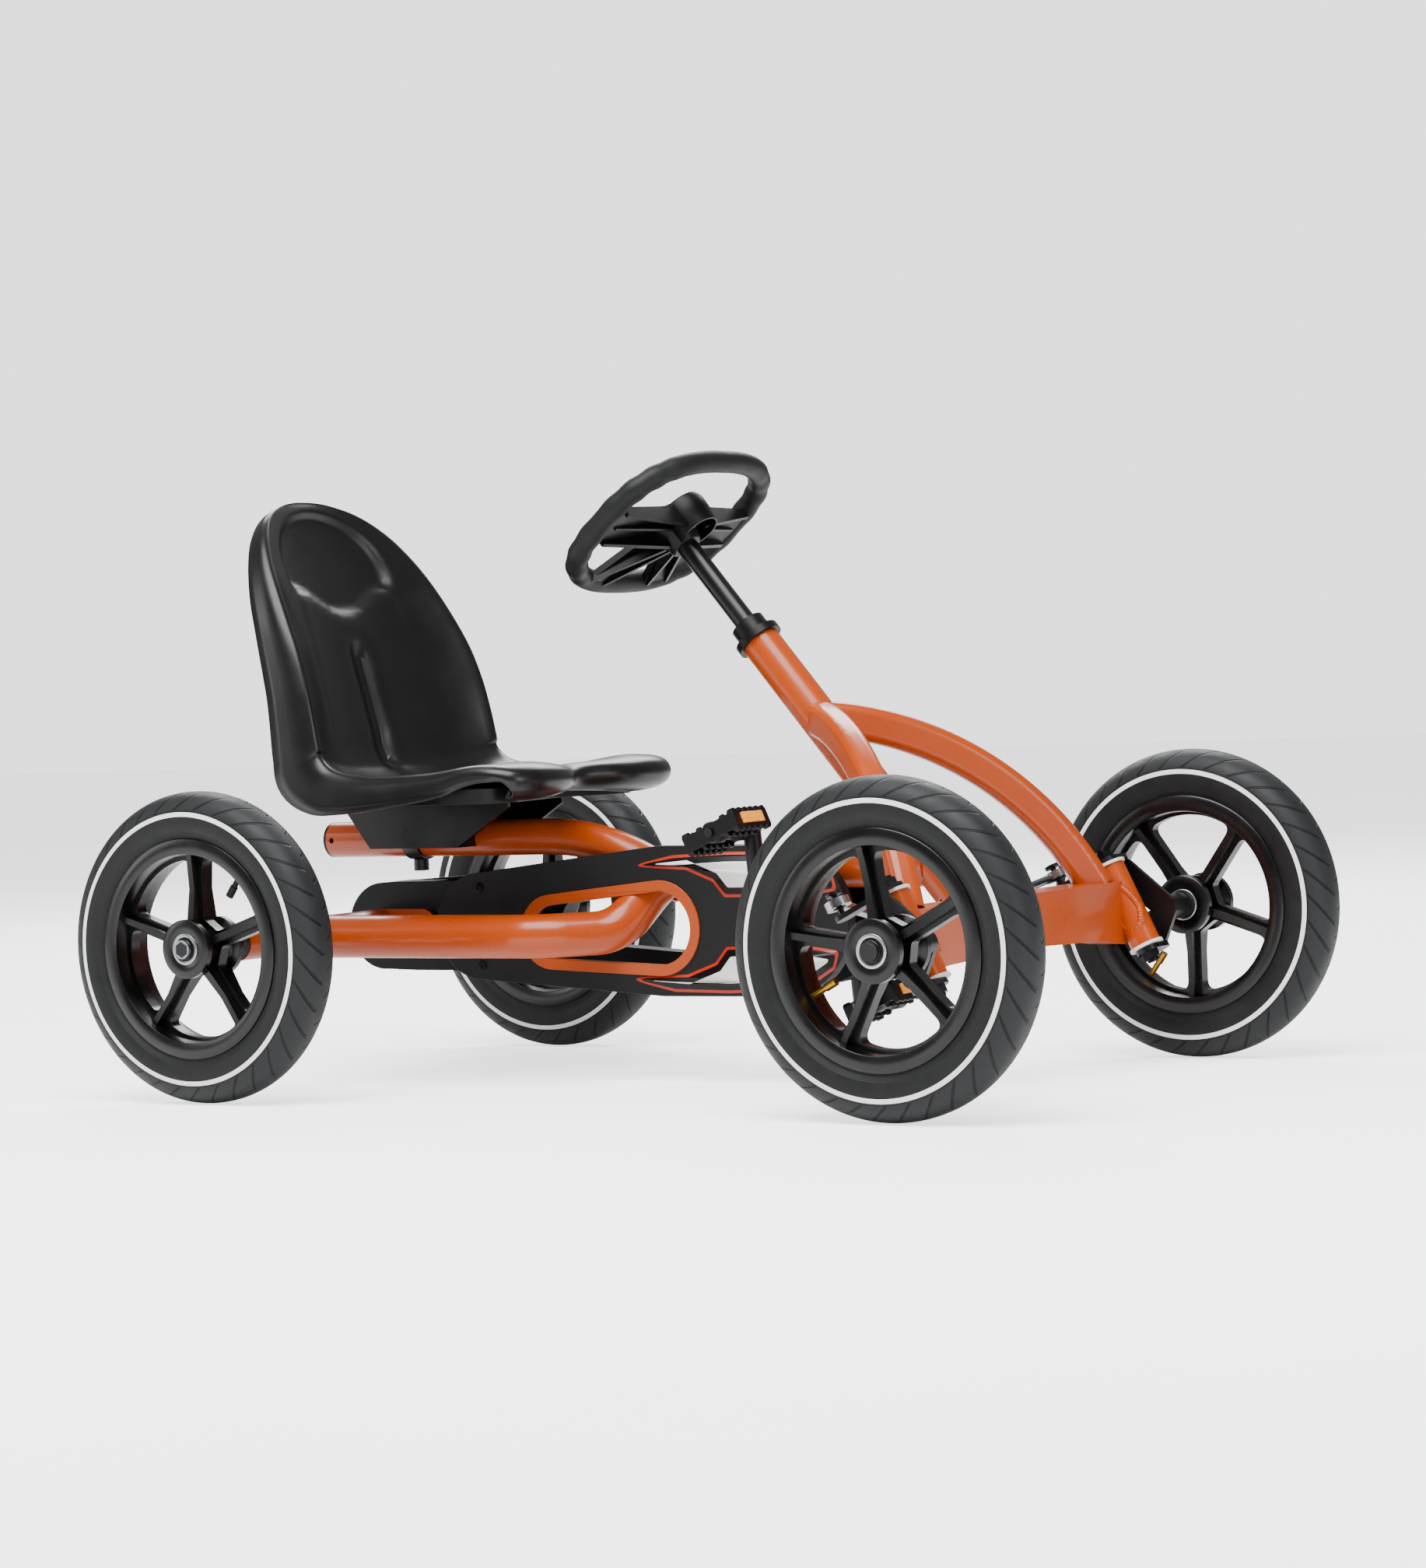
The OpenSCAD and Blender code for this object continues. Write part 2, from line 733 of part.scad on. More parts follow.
module seat_clamp() {
    strap_t = 3;
    knob_l = 12;
    color(BLACK) {
        difference() {
            rod([clamp_x - 10, 0, seat_tube_z], [clamp_x + 10, 0, seat_tube_z],
                seat_tube_r + run_gap + strap_t);
            rod([clamp_x - 10 - cut, 0, seat_tube_z], [clamp_x + 10 + cut, 0, seat_tube_z],
                seat_tube_r + run_gap);
            translate([clamp_x - 10 - cut, -2 * seat_tube_r, bracket_z])
                cube([20 + 2 * cut, 4 * seat_tube_r, 2 * seat_tube_r]);
        }
        translate([clamp_x, 0, seat_tube_z - seat_tube_r - strap_t - knob_l])
            cylinder(h = knob_l, r = 8);
    }
}

// ---- front end --------------------------------------------------------------
// Column axes: X forward and up, Y to the left, Z up the column
col_up = [-cos(head_angle), 0, sin(head_angle)];
col_fwd = [sin(head_angle), 0, cos(head_angle)];
head_low = [front_x - 62, 0, axle_z - 23];
function on_column(t) = head_low + t * col_up;
head_len = 404;
head_top = on_column(head_len);

module at_column(t) {
    o = on_column(t);
    multmatrix([[col_fwd.x, 0, col_up.x, o.x], [0, 1, 0, o.y], [col_fwd.z, 0, col_up.z, o.z],
        [0, 0, 0, 1]]) children();
}

pitman_t = 58;
pitman_len = 50;
pitman_thick = 6;
link_rise = 9.5;
link_y = 10;

module head_tube() {
    slot_len = 26;
    slot_x = 6;
    color(ORANGE) difference() {
        pipe(head_low, head_top, head_r, tube_wall);
        // Slot at the back, where the pitman arm comes out and swings
        at_column(pitman_t) translate([-slot_x - head_r, 0, 0])
            cube([2 * head_r, 4 * head_r, slot_len], center = true);
    }
}

module front_tube() {
    meet = on_column((main_front_z - head_low.z) / col_up.z);
    color(ORANGE) difference() {
        pipe([front_tube_x, 0, main_front_z], meet, main_r, tube_wall);
        rod(head_low, head_top, head_r);
    }
}

beam_x = front_x - 49;
beam_top = axle_z + 29;
beam_ends = 202;
kingpin_tilt = 26.3;
kingpin_y = wheel_y - 93.5;
kingpin_half = 44;
plate_in = 47.5;
bush_flange_r = kingpin_tube_r + 2;
plate_t = 5;

// Kingpin axes: X forward, Y outwards, Z up along the kingpin
module at_kingpin(side) {
    translate([front_x - 29, side * kingpin_y, axle_z + 3.5]) rotate([0, -kingpin_tilt, 0])
        scale_y(side) children();
}

module scale_y(side) {
    if (side > 0) children();
    else mirror([0, 1, 0]) children();
}

module beam_side(grow) {
    low = [[0, 136], [150, 131], [205, 124]];
    half = [for (p = low) [p.x + grow, p.y - grow - tyre_r + axle_z]];
    polygon(concat([[-half[2].x, half[2].y], [-half[1].x, half[1].y]], half,
        [[beam_ends + grow, beam_top + grow], [-beam_ends - grow, beam_top + grow]]));
}

module beam_block(grow = 0) {
    depth = beam_d + 2 * grow;
    translate([beam_x - depth / 2, 0, 0]) rotate([90, 0, 90]) linear_extrude(depth)
        beam_side(grow);
}

module front_beam() {
    beam_wall = 3;
    color(ORANGE) difference() {
        beam_block();
        beam_block(-beam_wall);
        rod(head_low - head_r * col_up, head_top, head_r);
        for (s = [-1, 1]) at_kingpin(s)
            cylinder(h = 4 * kingpin_half, r = kingpin_tube_r, center = true);
    }
}

// Two arches, from the head tube out and down to the beam's ends
arch_top = [front_x - 258, axle_z + 207];
arch_foot = [front_x - 50, kingpin_y - 28, axle_z + 24];

module arch(side) {
    run = [arch_foot.x - arch_top.x, side * arch_foot.y];
    h = run / norm(run);
    chord = [norm(run), arch_foot.z - arch_top.y];
    drop = sqrt(arch_r * arch_r - chord * chord / 4);
    centre = chord / 2 + drop * [chord.y, -chord.x] / norm(chord);
    a_foot = atan2(chord.y - centre.y, chord.x - centre.x);
    a_top = atan2(-centre.y, -centre.x);
    multmatrix([[h.x, 0, h.y, arch_top.x + h.x * centre.x], [h.y, 0, -h.x, h.y * centre.x],
        [0, 1, 0, arch_top.y + centre.y], [0, 0, 0, 1]])
        rotate(a_foot) rotate_extrude(angle = a_top - a_foot) translate([arch_r, 0]) children();
}

module arches() {
    arch_round = 10;
    color(ORANGE) difference() {
        for (s = [-1, 1]) arch(s) round_rect(arch_h, arch_w, arch_round);
        for (s = [-1, 1]) arch(s) round_rect(arch_h - 2 * tube_wall, arch_w - 2 * tube_wall,
            arch_round - tube_wall);
        rod(head_low, head_top, head_r);
        beam_block();
        // Room for the kingpin tubes and the flanges of their bushes
        for (s = [-1, 1]) at_kingpin(s) cylinder(h = 2 * plate_in, r = bush_flange_r + free_gap,
            center = true);
    }
}

module kingpin_tubes() {
    color(ORANGE) for (s = [-1, 1]) at_kingpin(s) difference() {
        cylinder(h = 2 * kingpin_half, r = kingpin_tube_r, center = true);
        cylinder(h = 2 * kingpin_half + cut, r = kingpin_tube_r - tube_wall, center = true);
    }
}

module kingpin_bushes() {
    flange_t = 3;
    bush_len = 14;
    color("white") for (s = [-1, 1]) at_kingpin(s) for (e = [0, 1]) mirror([0, 0, e])
        difference() {
            union() {
                translate([0, 0, kingpin_half]) cylinder(h = flange_t, r = bush_flange_r);
                translate([0, 0, kingpin_half - bush_len])
                    cylinder(h = bush_len, r = kingpin_tube_r - tube_wall);
            }
            cylinder(h = 4 * kingpin_half, r = kingpin_r + run_gap, center = true);
        }
}

// ---- knuckles ---------------------------------------------------------------
web_y = 25;
web_t = 6;
boss = [24.5, -16];
steer_arm = [-58.7, 0];
stub_start = kingpin_y + web_y + 1;

module knuckle(side) {
    bar_w = 26;
    bar_end = plate_in + plate_t / 2 - bar_w / 2;
    stud_r = 3;
    color(BLACK) {
        at_kingpin(side) {
            difference() {
                union() {
                    for (z = [plate_in, -plate_in - plate_t]) translate([0, 0, z])
                        linear_extrude(plate_t)
                        slot_bar([0, web_y + web_t + 1 - bar_w / 2], bar_w);
                    translate([0, 0, plate_in]) linear_extrude(plate_t)
                        slot_bar(steer_arm, bar_w - 9);
                    translate([0, web_y + web_t, 0]) rotate([90, 0, 0]) linear_extrude(web_t)
                        for (z = [-bar_end, bar_end]) translate(boss)
                            slot_bar([-boss.x, z - boss.y], bar_w);
                }
                cylinder(h = 4 * kingpin_half, r = kingpin_r, center = true);
            }
            translate([steer_arm.x, 0, plate_in + 1]) cylinder(h = 27, r = stud_r);
            translate([steer_arm.x, 0, plate_in + 25]) cylinder(h = 3, r = 8);
        }
        rod([front_x, side * stub_start, axle_z],
            [front_x, side * (wheel_y - hub_face - 8), axle_z], axle_r + 7);
        rod([front_x, side * stub_start, axle_z],
            [front_x, side * (wheel_y - hub_face - free_gap), axle_z], axle_r + 3);
        rod([front_x, side * stub_start, axle_z], [front_x, side * axle_end, axle_z], axle_r);
        rod([front_x, side * (wheel_y + hub_face + free_gap), axle_z],
            [front_x, side * axle_end, axle_z], axle_r + 3.5);
    }
}

module knuckle_left() { knuckle(1); }
module knuckle_right() { knuckle(-1); }

module kingpin_bolt(side) {
    head_t = 7;
    head_flat = 10;
    shank = plate_in + plate_t;
    color(STEEL) at_kingpin(side) {
        cylinder(h = 2 * (shank + head_t + 3), r = kingpin_r, center = true);
        for (e = [0, 1]) mirror([0, 0, e]) translate([0, 0, shank])
            cylinder(h = head_t, r = head_flat, $fn = 6);
    }
}

module kingpin_bolt_left() { kingpin_bolt(1); }
module kingpin_bolt_right() { kingpin_bolt(-1); }

// ---- steering ---------------------------------------------------------------
hub_t = 569;

module column() {
    color(BLACK) difference() {
        rod(on_column(22), on_column(hub_t - 28), column_r);
        rod(on_column(pitman_t + 30), on_column(hub_t), column_r - tube_wall);
    }
}

module collar_bush() {
    flange_t = 8;
    neck_h = 16;
    low_h = 18;
    color(BLACK) difference() {
        union() {
            at_column(head_len) cylinder(h = flange_t, r = head_r + 4.5);
            at_column(head_len - neck_h) cylinder(h = 2 * neck_h + flange_t, r = head_r - tube_wall);
            at_column(0) cylinder(h = low_h + 10, r = head_r - tube_wall);
        }
        at_column(-cut) cylinder(h = head_len + 3 * neck_h, r = column_r + run_gap);
    }
}

module pitman_arm() {
    stud_r = 4;
    color(STEEL) at_column(pitman_t) {
        difference() {
            translate([0, 0, -pitman_thick / 2]) linear_extrude(pitman_thick) {
                translate([-pitman_len, 0]) square([2 * pitman_len, 18], center = true);
                translate([-pitman_len, -link_y]) slot_bar([0, 2 * link_y], 18);
            }
            translate([head_r, 0, 0]) cube([2 * head_r, 4 * head_r, 4 * pitman_thick], center = true);
            cylinder(h = 4 * pitman_thick, r = column_r, center = true);
        }
        for (s = [-1, 1]) translate([-pitman_len, s * link_y, 0]) {
            cylinder(h = link_rise + 8, r = stud_r);
            translate([0, 0, link_rise + 5.5]) cylinder(h = 4, r = 6);
        }
    }
}

function pitman_ball(side) = on_column(pitman_t + link_rise) - pitman_len * col_fwd
    + [0, side * link_y, 0];
function arm_ball(side) = [front_x - 29, side * kingpin_y, axle_z + 3.5]
    + steer_arm.x * [cos(kingpin_tilt), 0, sin(kingpin_tilt)]
    + 64 * [-sin(kingpin_tilt), 0, cos(kingpin_tilt)];

// Rod with an eye at each end; the outer eye leaves room round its stud
module tie_rod(side) {
    a = pitman_ball(side);
    b = arm_ball(side);
    eye_r = 9;
    outer_r = 12.5;
    outer_hole = 3 + 3.6;
    eye_h = 8;
    color(STEEL) difference() {
        union() {
            rod(a, b, 5);
            translate(a) rotate([0, head_angle - 90, 0])
                cylinder(h = eye_h, r = eye_r, center = true);
            translate(b) rotate([0, -kingpin_tilt, 0])
                cylinder(h = eye_h, r = outer_r, center = true);
        }
        translate(a) rotate([0, head_angle - 90, 0])
            cylinder(h = 4 * eye_h, r = 4 + run_gap, center = true);
        translate(b) rotate([0, -kingpin_tilt, 0])
            cylinder(h = 4 * eye_h, r = outer_hole, center = true);
    }
}

module tie_rod_left() { tie_rod(1); }
module tie_rod_right() { tie_rod(-1); }

// Rim of the steering wheel: a rectangle with very round corners
module grip_rim() {
    bend = wheel_half_h - 10;
    dx = wheel_half_h - bend;
    dy = wheel_half_w - bend;
    for (i = [0 : 3]) {
        c = [i == 0 || i == 3 ? dx : -dx, i < 2 ? dy : -dy, 0];
        translate(c) rotate(i * 90) rotate_extrude(angle = 90) translate([bend, 0]) circle(grip_r);
    }
    for (s = [-1, 1]) {
        rod([-dx, s * wheel_half_w, 0], [dx, s * wheel_half_w, 0], grip_r);
        rod([s * wheel_half_h, -dy, 0], [s * wheel_half_h, dy, 0], grip_r);
    }
}

module steering_wheel() {
    boss_r = 25;
    boss_h = 34;
    spoke_t = 8;
    color(BLACK) at_column(hub_t) difference() {
        union() {
            grip_rim();
            translate([0, 0, -boss_h]) cylinder(h = boss_h + 4, r = boss_r);
            for (s = [-1, 1]) translate([0, 0, -spoke_t - 4]) linear_extrude(spoke_t) {
                polygon([[-12, 0], [-8, s * wheel_half_w], [14, s * wheel_half_w], [18, 0]]);
                polygon([[6, 0], [-wheel_half_h, s * 46], [-wheel_half_h, s * 66],
                    [-14, s * 40], [-8, s * 20]]);
            }
        }
        translate([0, 0, -boss_h - cut]) cylinder(h = boss_h - 6, r = column_r);
    }
}

module wheel_cap() {
    cap_r = 22;
    cap_h = 7;
    color(BLACK) at_column(hub_t) translate([0, 0, 4]) cylinder(h = cap_h, r = cap_r);
}

// ---- wheels -----------------------------------------------------------------
// Wheel axes: the origin is the wheel's centre, Z points outboard
module at_wheel(x, side, turn = 0) {
    translate([x, side * wheel_y, axle_z]) rotate([-90 * side, 0, 0]) rotate(-side * turn)
        children();
}

bead_seat_r = rim_r - 8;
bead_half = 21;
bead_w = 9;
tyre_c = tyre_r - tyre_section_r;

module tyre(x, side) {
    color(BLACK) at_wheel(x, side) rotate_extrude() difference() {
        union() {
            translate([tyre_c, 0]) circle(tyre_section_r);
            translate([bead_seat_r, -bead_half]) square([tyre_c - bead_seat_r, 2 * bead_half]);
        }
        translate([tyre_c, 0]) circle(tyre_section_r - tyre_wall);
        translate([bead_seat_r - cut, bead_w - bead_half])
            square([tyre_c - bead_seat_r, 2 * (bead_half - bead_w)]);
    }
}

module tyre_front_left() { tyre(front_x, 1); }
module tyre_front_right() { tyre(front_x, -1); }
module tyre_rear_left() { tyre(rear_x, 1); }
module tyre_rear_right() { tyre(rear_x, -1); }

module rim_profile() {
    edge = bead_half + 4;
    polygon([[rim_inner_r, -edge + 6], [rim_inner_r + 4, -edge], [rim_r, -edge],
        [rim_r, -bead_half], [bead_seat_r, -bead_half], [bead_seat_r, bead_half],
        [rim_r, bead_half], [rim_r, edge], [rim_inner_r + 4, edge], [rim_inner_r, edge - 6]]);
}

module hub_profile() {
    flange_t = 9;
    translate([0, -hub_face]) square([hub_barrel_r, hub_len]);
    for (z = [-hub_face, hub_face - flange_t]) translate([0, z]) square([hub_flange_r, flange_t]);
}

module wheel(x, side, turn) {
    web_half = 4;
    rib_half = 17;
    rib_w = 5;
    core_r = 10;
    reach = rim_inner_r + 2;
    color(BLACK) at_wheel(x, side, turn) difference() {
        union() {
            rotate_extrude() rim_profile();
            rotate_extrude() hub_profile();
            for (i = [0 : spoke_count - 1]) rotate(i * 360 / spoke_count) {
                translate([0, -spoke_w / 2, -web_half]) cube([reach, spoke_w, 2 * web_half]);
                translate([0, -rib_w / 2, -rib_half]) cube([reach, rib_w, 2 * rib_half]);
            }
        }
        cylinder(h = 2 * hub_len, r = core_r, center = true);
        for (s = [-1, 1]) translate([0, 0, s * (hub_face - bearing_w / 2)])
            cylinder(h = bearing_w + 2 * run_gap, r = bearing_r, center = true);
    }
}

// How far each wheel is turned at rest, and where its valve stands
turn_fl = 270;
turn_fr = 100;
turn_rl = 90;
turn_rr = 90;
valve_off = 180 / spoke_count;

module wheel_front_left() { wheel(front_x, 1, turn_fl); }
module wheel_front_right() { wheel(front_x, -1, turn_fr); }
module wheel_rear_left() { wheel(rear_x, 1, turn_rl); }
module wheel_rear_right() { wheel(rear_x, -1, turn_rr); }

// Two bearings in each wheel's hub
module bearings(x, side, bore) {
    color(STEEL) at_wheel(x, side) for (s = [-1, 1])
        translate([0, 0, s * (hub_face - bearing_w / 2) - bearing_w / 2]) difference() {
            cylinder(h = bearing_w, r = bearing_r);
            translate([0, 0, -cut]) cylinder(h = bearing_w + 2 * cut, r = bore);
        }
}

module bearings_front_left() { bearings(front_x, 1, axle_r + run_gap); }
module bearings_front_right() { bearings(front_x, -1, axle_r + run_gap); }
module bearings_rear_left() { bearings(rear_x, 1, axle_r); }
module bearings_rear_right() { bearings(rear_x, -1, axle_r + run_gap); }

// Valve stem from the rim inwards, with its cap
module valve(x, side, turn) {
    stem_r = 3;
    cap_r = 4;
    stem = 20;
    cap_l = 12;
    color(STEEL) at_wheel(x, side, turn) rotate([0, 90, 0]) {
        translate([0, 0, rim_inner_r - stem]) cylinder(h = stem, r = stem_r);
        translate([0, 0, rim_inner_r - stem - cap_l]) cylinder(h = cap_l, r = cap_r);
    }
}

module valve_front_left() { valve(front_x, 1, turn_fl - valve_off); }
module valve_front_right() { valve(front_x, -1, turn_fr + 3 * valve_off); }
module valve_rear_left() { valve(rear_x, 1, turn_rl - valve_off); }
module valve_rear_right() { valve(rear_x, -1, turn_rr - valve_off); }

// ---- the sub-parts ----------------------------------------------------------
main_tube();
seat_tube();
seat_tube_plug();
axle_housings();
axle_yoke();
crank_shell();
frame_bearings();
swing_bush();
guard_shield();
guard_liner();
chain_case_right();
chain_case_left();
guard_screws();
chain();
seat_shell();
seat_bracket();
seat_clamp();
head_tube();
front_tube();
arches();
front_beam();
kingpin_tubes();
kingpin_bushes();
swing_pin();
collar_bush();
column();
steering_wheel();
wheel_cap();
pitman_arm();
tie_rod_left();
tie_rod_right();
knuckle_left();
knuckle_right();
kingpin_bolt_left();
kingpin_bolt_right();
tyre_front_left();
tyre_front_right();
tyre_rear_left();
tyre_rear_right();
wheel_front_left();
wheel_front_right();
wheel_rear_left();
wheel_rear_right();
bearings_front_left();
bearings_front_right();
bearings_rear_left();
bearings_rear_right();
valve_front_left();
valve_front_right();
valve_rear_left();
valve_rear_right();
rear_axle();
drive_hub();
crank();
chainring();
pedal_left();
pedal_right();
reflectors_left();
reflectors_right();
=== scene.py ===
# %% [markdown]
# # Pedal go kart
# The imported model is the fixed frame. Everything here is in metres, in its frame:
# +X forward, +Y to the rider's left, +Z up, with the origin on the ground between the axles.

# %% Frame
import bpy, bmesh, json, math
import numpy as np
from mathutils import Matrix, Vector

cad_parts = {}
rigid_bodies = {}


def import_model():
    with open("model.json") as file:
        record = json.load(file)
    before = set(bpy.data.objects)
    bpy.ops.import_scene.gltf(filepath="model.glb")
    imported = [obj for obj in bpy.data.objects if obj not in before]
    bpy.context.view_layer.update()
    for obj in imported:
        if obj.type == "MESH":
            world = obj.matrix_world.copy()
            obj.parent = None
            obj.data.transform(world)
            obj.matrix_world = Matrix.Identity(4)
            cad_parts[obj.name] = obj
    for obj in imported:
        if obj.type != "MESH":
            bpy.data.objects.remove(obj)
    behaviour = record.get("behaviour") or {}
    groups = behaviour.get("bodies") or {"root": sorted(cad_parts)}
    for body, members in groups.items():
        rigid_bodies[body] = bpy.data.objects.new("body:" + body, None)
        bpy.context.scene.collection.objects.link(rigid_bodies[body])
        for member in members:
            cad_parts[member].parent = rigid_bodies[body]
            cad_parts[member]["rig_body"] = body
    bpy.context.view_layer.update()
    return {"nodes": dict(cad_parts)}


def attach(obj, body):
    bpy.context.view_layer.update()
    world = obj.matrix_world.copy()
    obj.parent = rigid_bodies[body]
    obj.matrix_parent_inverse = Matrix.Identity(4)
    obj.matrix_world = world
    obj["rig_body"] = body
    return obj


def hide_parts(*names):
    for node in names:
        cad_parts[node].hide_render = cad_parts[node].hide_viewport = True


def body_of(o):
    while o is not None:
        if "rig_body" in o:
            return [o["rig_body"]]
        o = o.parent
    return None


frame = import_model()
NODES = frame["nodes"]

# %% [markdown]
# ## Camera and light
# A product shot uses a long lens and large soft boxes. The camera is low at the kart's front right.
# The sky is bright where the camera sees it and weak as a light, so that black parts stay black.

# %% Camera, lights and sky
def add_camera(place, target, roll, lens):
    cam = bpy.data.objects.new("camera", bpy.data.cameras.new("camera"))
    bpy.context.collection.objects.link(cam)
    back = (Vector(place) - Vector(target)).normalized()
    level_right = Vector((0, 0, 1)).cross(back).normalized()
    level_up = back.cross(level_right)
    right = math.cos(roll) * level_right + math.sin(roll) * level_up
    up = back.cross(right)
    cam.matrix_world = Matrix.Translation(place) @ Matrix((right, up, back)).transposed().to_4x4()
    cam.data.lens = lens
    cam.data.sensor_width = 36
    cam.data.clip_end = 50
    bpy.context.scene.camera = cam


def add_area(name, place, target, size, watts):
    data = bpy.data.lights.new(name, "AREA")
    data.shape, data.size, data.size_y, data.energy = "RECTANGLE", size[0], size[1], watts
    o = bpy.data.objects.new(name, data)
    bpy.context.collection.objects.link(o)
    o.location = place
    o.rotation_euler = (Vector(target) - Vector(place)).to_track_quat("-Z", "Y").to_euler()


CAMERA_AT = (2.3943, -3.5594, 0.4173)
CAMERA_TO = (0.020, 0.0, 0.303)
CAMERA_ROLL, CAMERA_LENS = math.radians(-2.38), 96.3
SKY_ON_THE_KART, SKY_SEEN = 0.32, 2.2
add_camera(CAMERA_AT, CAMERA_TO, CAMERA_ROLL, CAMERA_LENS)
add_area("key light", (0.4, -1.6, 3.4), (0, 0, 0.2), (3.4, 2.4), 320)
add_area("front light", (3.8, -1.0, 1.3), (0.2, 0, 0.3), (1.0, 2.2), 46)
add_area("rim light", (-1.8, 2.6, 2.8), (-0.1, 0, 0.4), (3.0, 1.6), 170)
add_area("left light", (-3.2, -2.2, 1.3), (-0.3, 0, 0.3), (0.8, 2.0), 26)

world = bpy.data.worlds.new("studio")
bpy.context.scene.world = world
world.use_nodes = True
sky = world.node_tree
sky.nodes["Background"].inputs["Color"].default_value = (1, 1, 1, 1)
seen = sky.nodes.new("ShaderNodeLightPath")
level = sky.nodes.new("ShaderNodeMapRange")
level.inputs["To Min"].default_value = SKY_ON_THE_KART
level.inputs["To Max"].default_value = SKY_SEEN
sky.links.new(seen.outputs["Is Camera Ray"], level.inputs["Value"])
sky.links.new(level.outputs["Result"], sky.nodes["Background"].inputs["Strength"])
print(len(bpy.data.lights), "soft lights and a camera with a lens of", CAMERA_LENS, "mm")

# %% [markdown]
# ## Materials
# Each material is a node tree on Object coordinates, or on the UVs that a piece brings.

# %% Material helpers
def colour(code):
    """Linear RGBA of a hex sRGB code."""
    rgb = [int(code[i:i + 2], 16) / 255 for i in (1, 3, 5)]
    return [c / 12.92 if c <= 0.04045 else ((c + 0.055) / 1.055) ** 2.4 for c in rgb] + [1.0]


def add(tree, kind, inputs=None, **settings):
    """A node with its settings, and each input linked or set."""
    n = tree.nodes.new(kind)
    for key, value in settings.items():
        setattr(n, key, value)
    for key, value in (inputs or {}).items():
        if isinstance(value, bpy.types.NodeSocket):
            tree.links.new(value, n.inputs[key])
        else:
            n.inputs[key].default_value = value
    return n


def maths(tree, operation, a, b=0.0, c=0.0, clamp=False):
    n = add(tree, "ShaderNodeMath", {0: a, 1: b, 2: c}, operation=operation)
    n.use_clamp = clamp
    return n.outputs[0]


def start_material(name):
    m = bpy.data.materials.new(name)
    m.use_nodes = True
    t = m.node_tree
    t.nodes.clear()
    shader = add(t, "ShaderNodeBsdfPrincipled")
    add(t, "ShaderNodeOutputMaterial", {"Surface": shader.outputs[0]})
    return m, t, shader


def noise(t, scale, detail=4.0, rough=0.5):
    coords = add(t, "ShaderNodeTexCoord").outputs["Object"]
    n = add(t, "ShaderNodeTexNoise", {"Vector": coords, "Scale": scale, "Detail": detail, "Roughness": rough})
    return n.outputs["Fac"]


def spread(t, value, low, high):
    """The middle of a 0 to 1 value, from 0.3 to 0.7, stretched over low to high."""
    return add(t, "ShaderNodeMapRange", {"Value": value, "From Min": 0.3, "From Max": 0.7,
                                         "To Min": low, "To Max": high}).outputs["Result"]


def mix(t, factor, a, b):
    n = add(t, "ShaderNodeMix", data_type="RGBA")
    for key, value in (("Factor", factor), ("A", a), ("B", b)):
        s = next(i for i in n.inputs if i.name == key and i.enabled and
                 (i.type == "RGBA" if key != "Factor" else i.type == "VALUE"))
        if isinstance(value, bpy.types.NodeSocket):
            t.links.new(value, s)
        else:
            s.default_value = value
    return next(o for o in n.outputs if o.type == "RGBA")


def bump(t, shader, height, strength, distance):
    n = add(t, "ShaderNodeBump", {"Height": height, "Strength": strength, "Distance": distance})
    t.links.new(n.outputs[0], shader.inputs["Normal"])


BLOTCH = 3.0            # slow colour changes, a third of a metre across


def surface(name, base, dark, rough, grain, grain_depth, coat=0.0, metallic=0.0, shine=0.5):
    """Base material: slow colour variation, uneven roughness and a fine grain."""
    m, t, s = start_material(name)
    slow = noise(t, BLOTCH, 3.0)
    fine = noise(t, grain, 6.0, 0.6)
    tint = mix(t, spread(t, slow, 0.0, 1.0), colour(dark), colour(base))
    t.links.new(tint, s.inputs["Base Color"])
    t.links.new(spread(t, noise(t, BLOTCH * 9, 5.0), rough[0], rough[1]), s.inputs["Roughness"])
    s.inputs["Metallic"].default_value = metallic
    s.inputs["Specular IOR Level"].default_value = shine
    s.inputs["Coat Weight"].default_value = coat
    s.inputs["Coat Roughness"].default_value = 0.08
    bump(t, s, fine, 0.35, grain_depth)
    return m


print("material helpers ready")

# %% [markdown]
# ## Paints, plastics and metals
# The finishes are powder coat, moulded plastic, plated and blackened steel, brass, nylon, vinyl and
# rubber. One base tree makes them all, because they differ in colour, gloss and grain only.

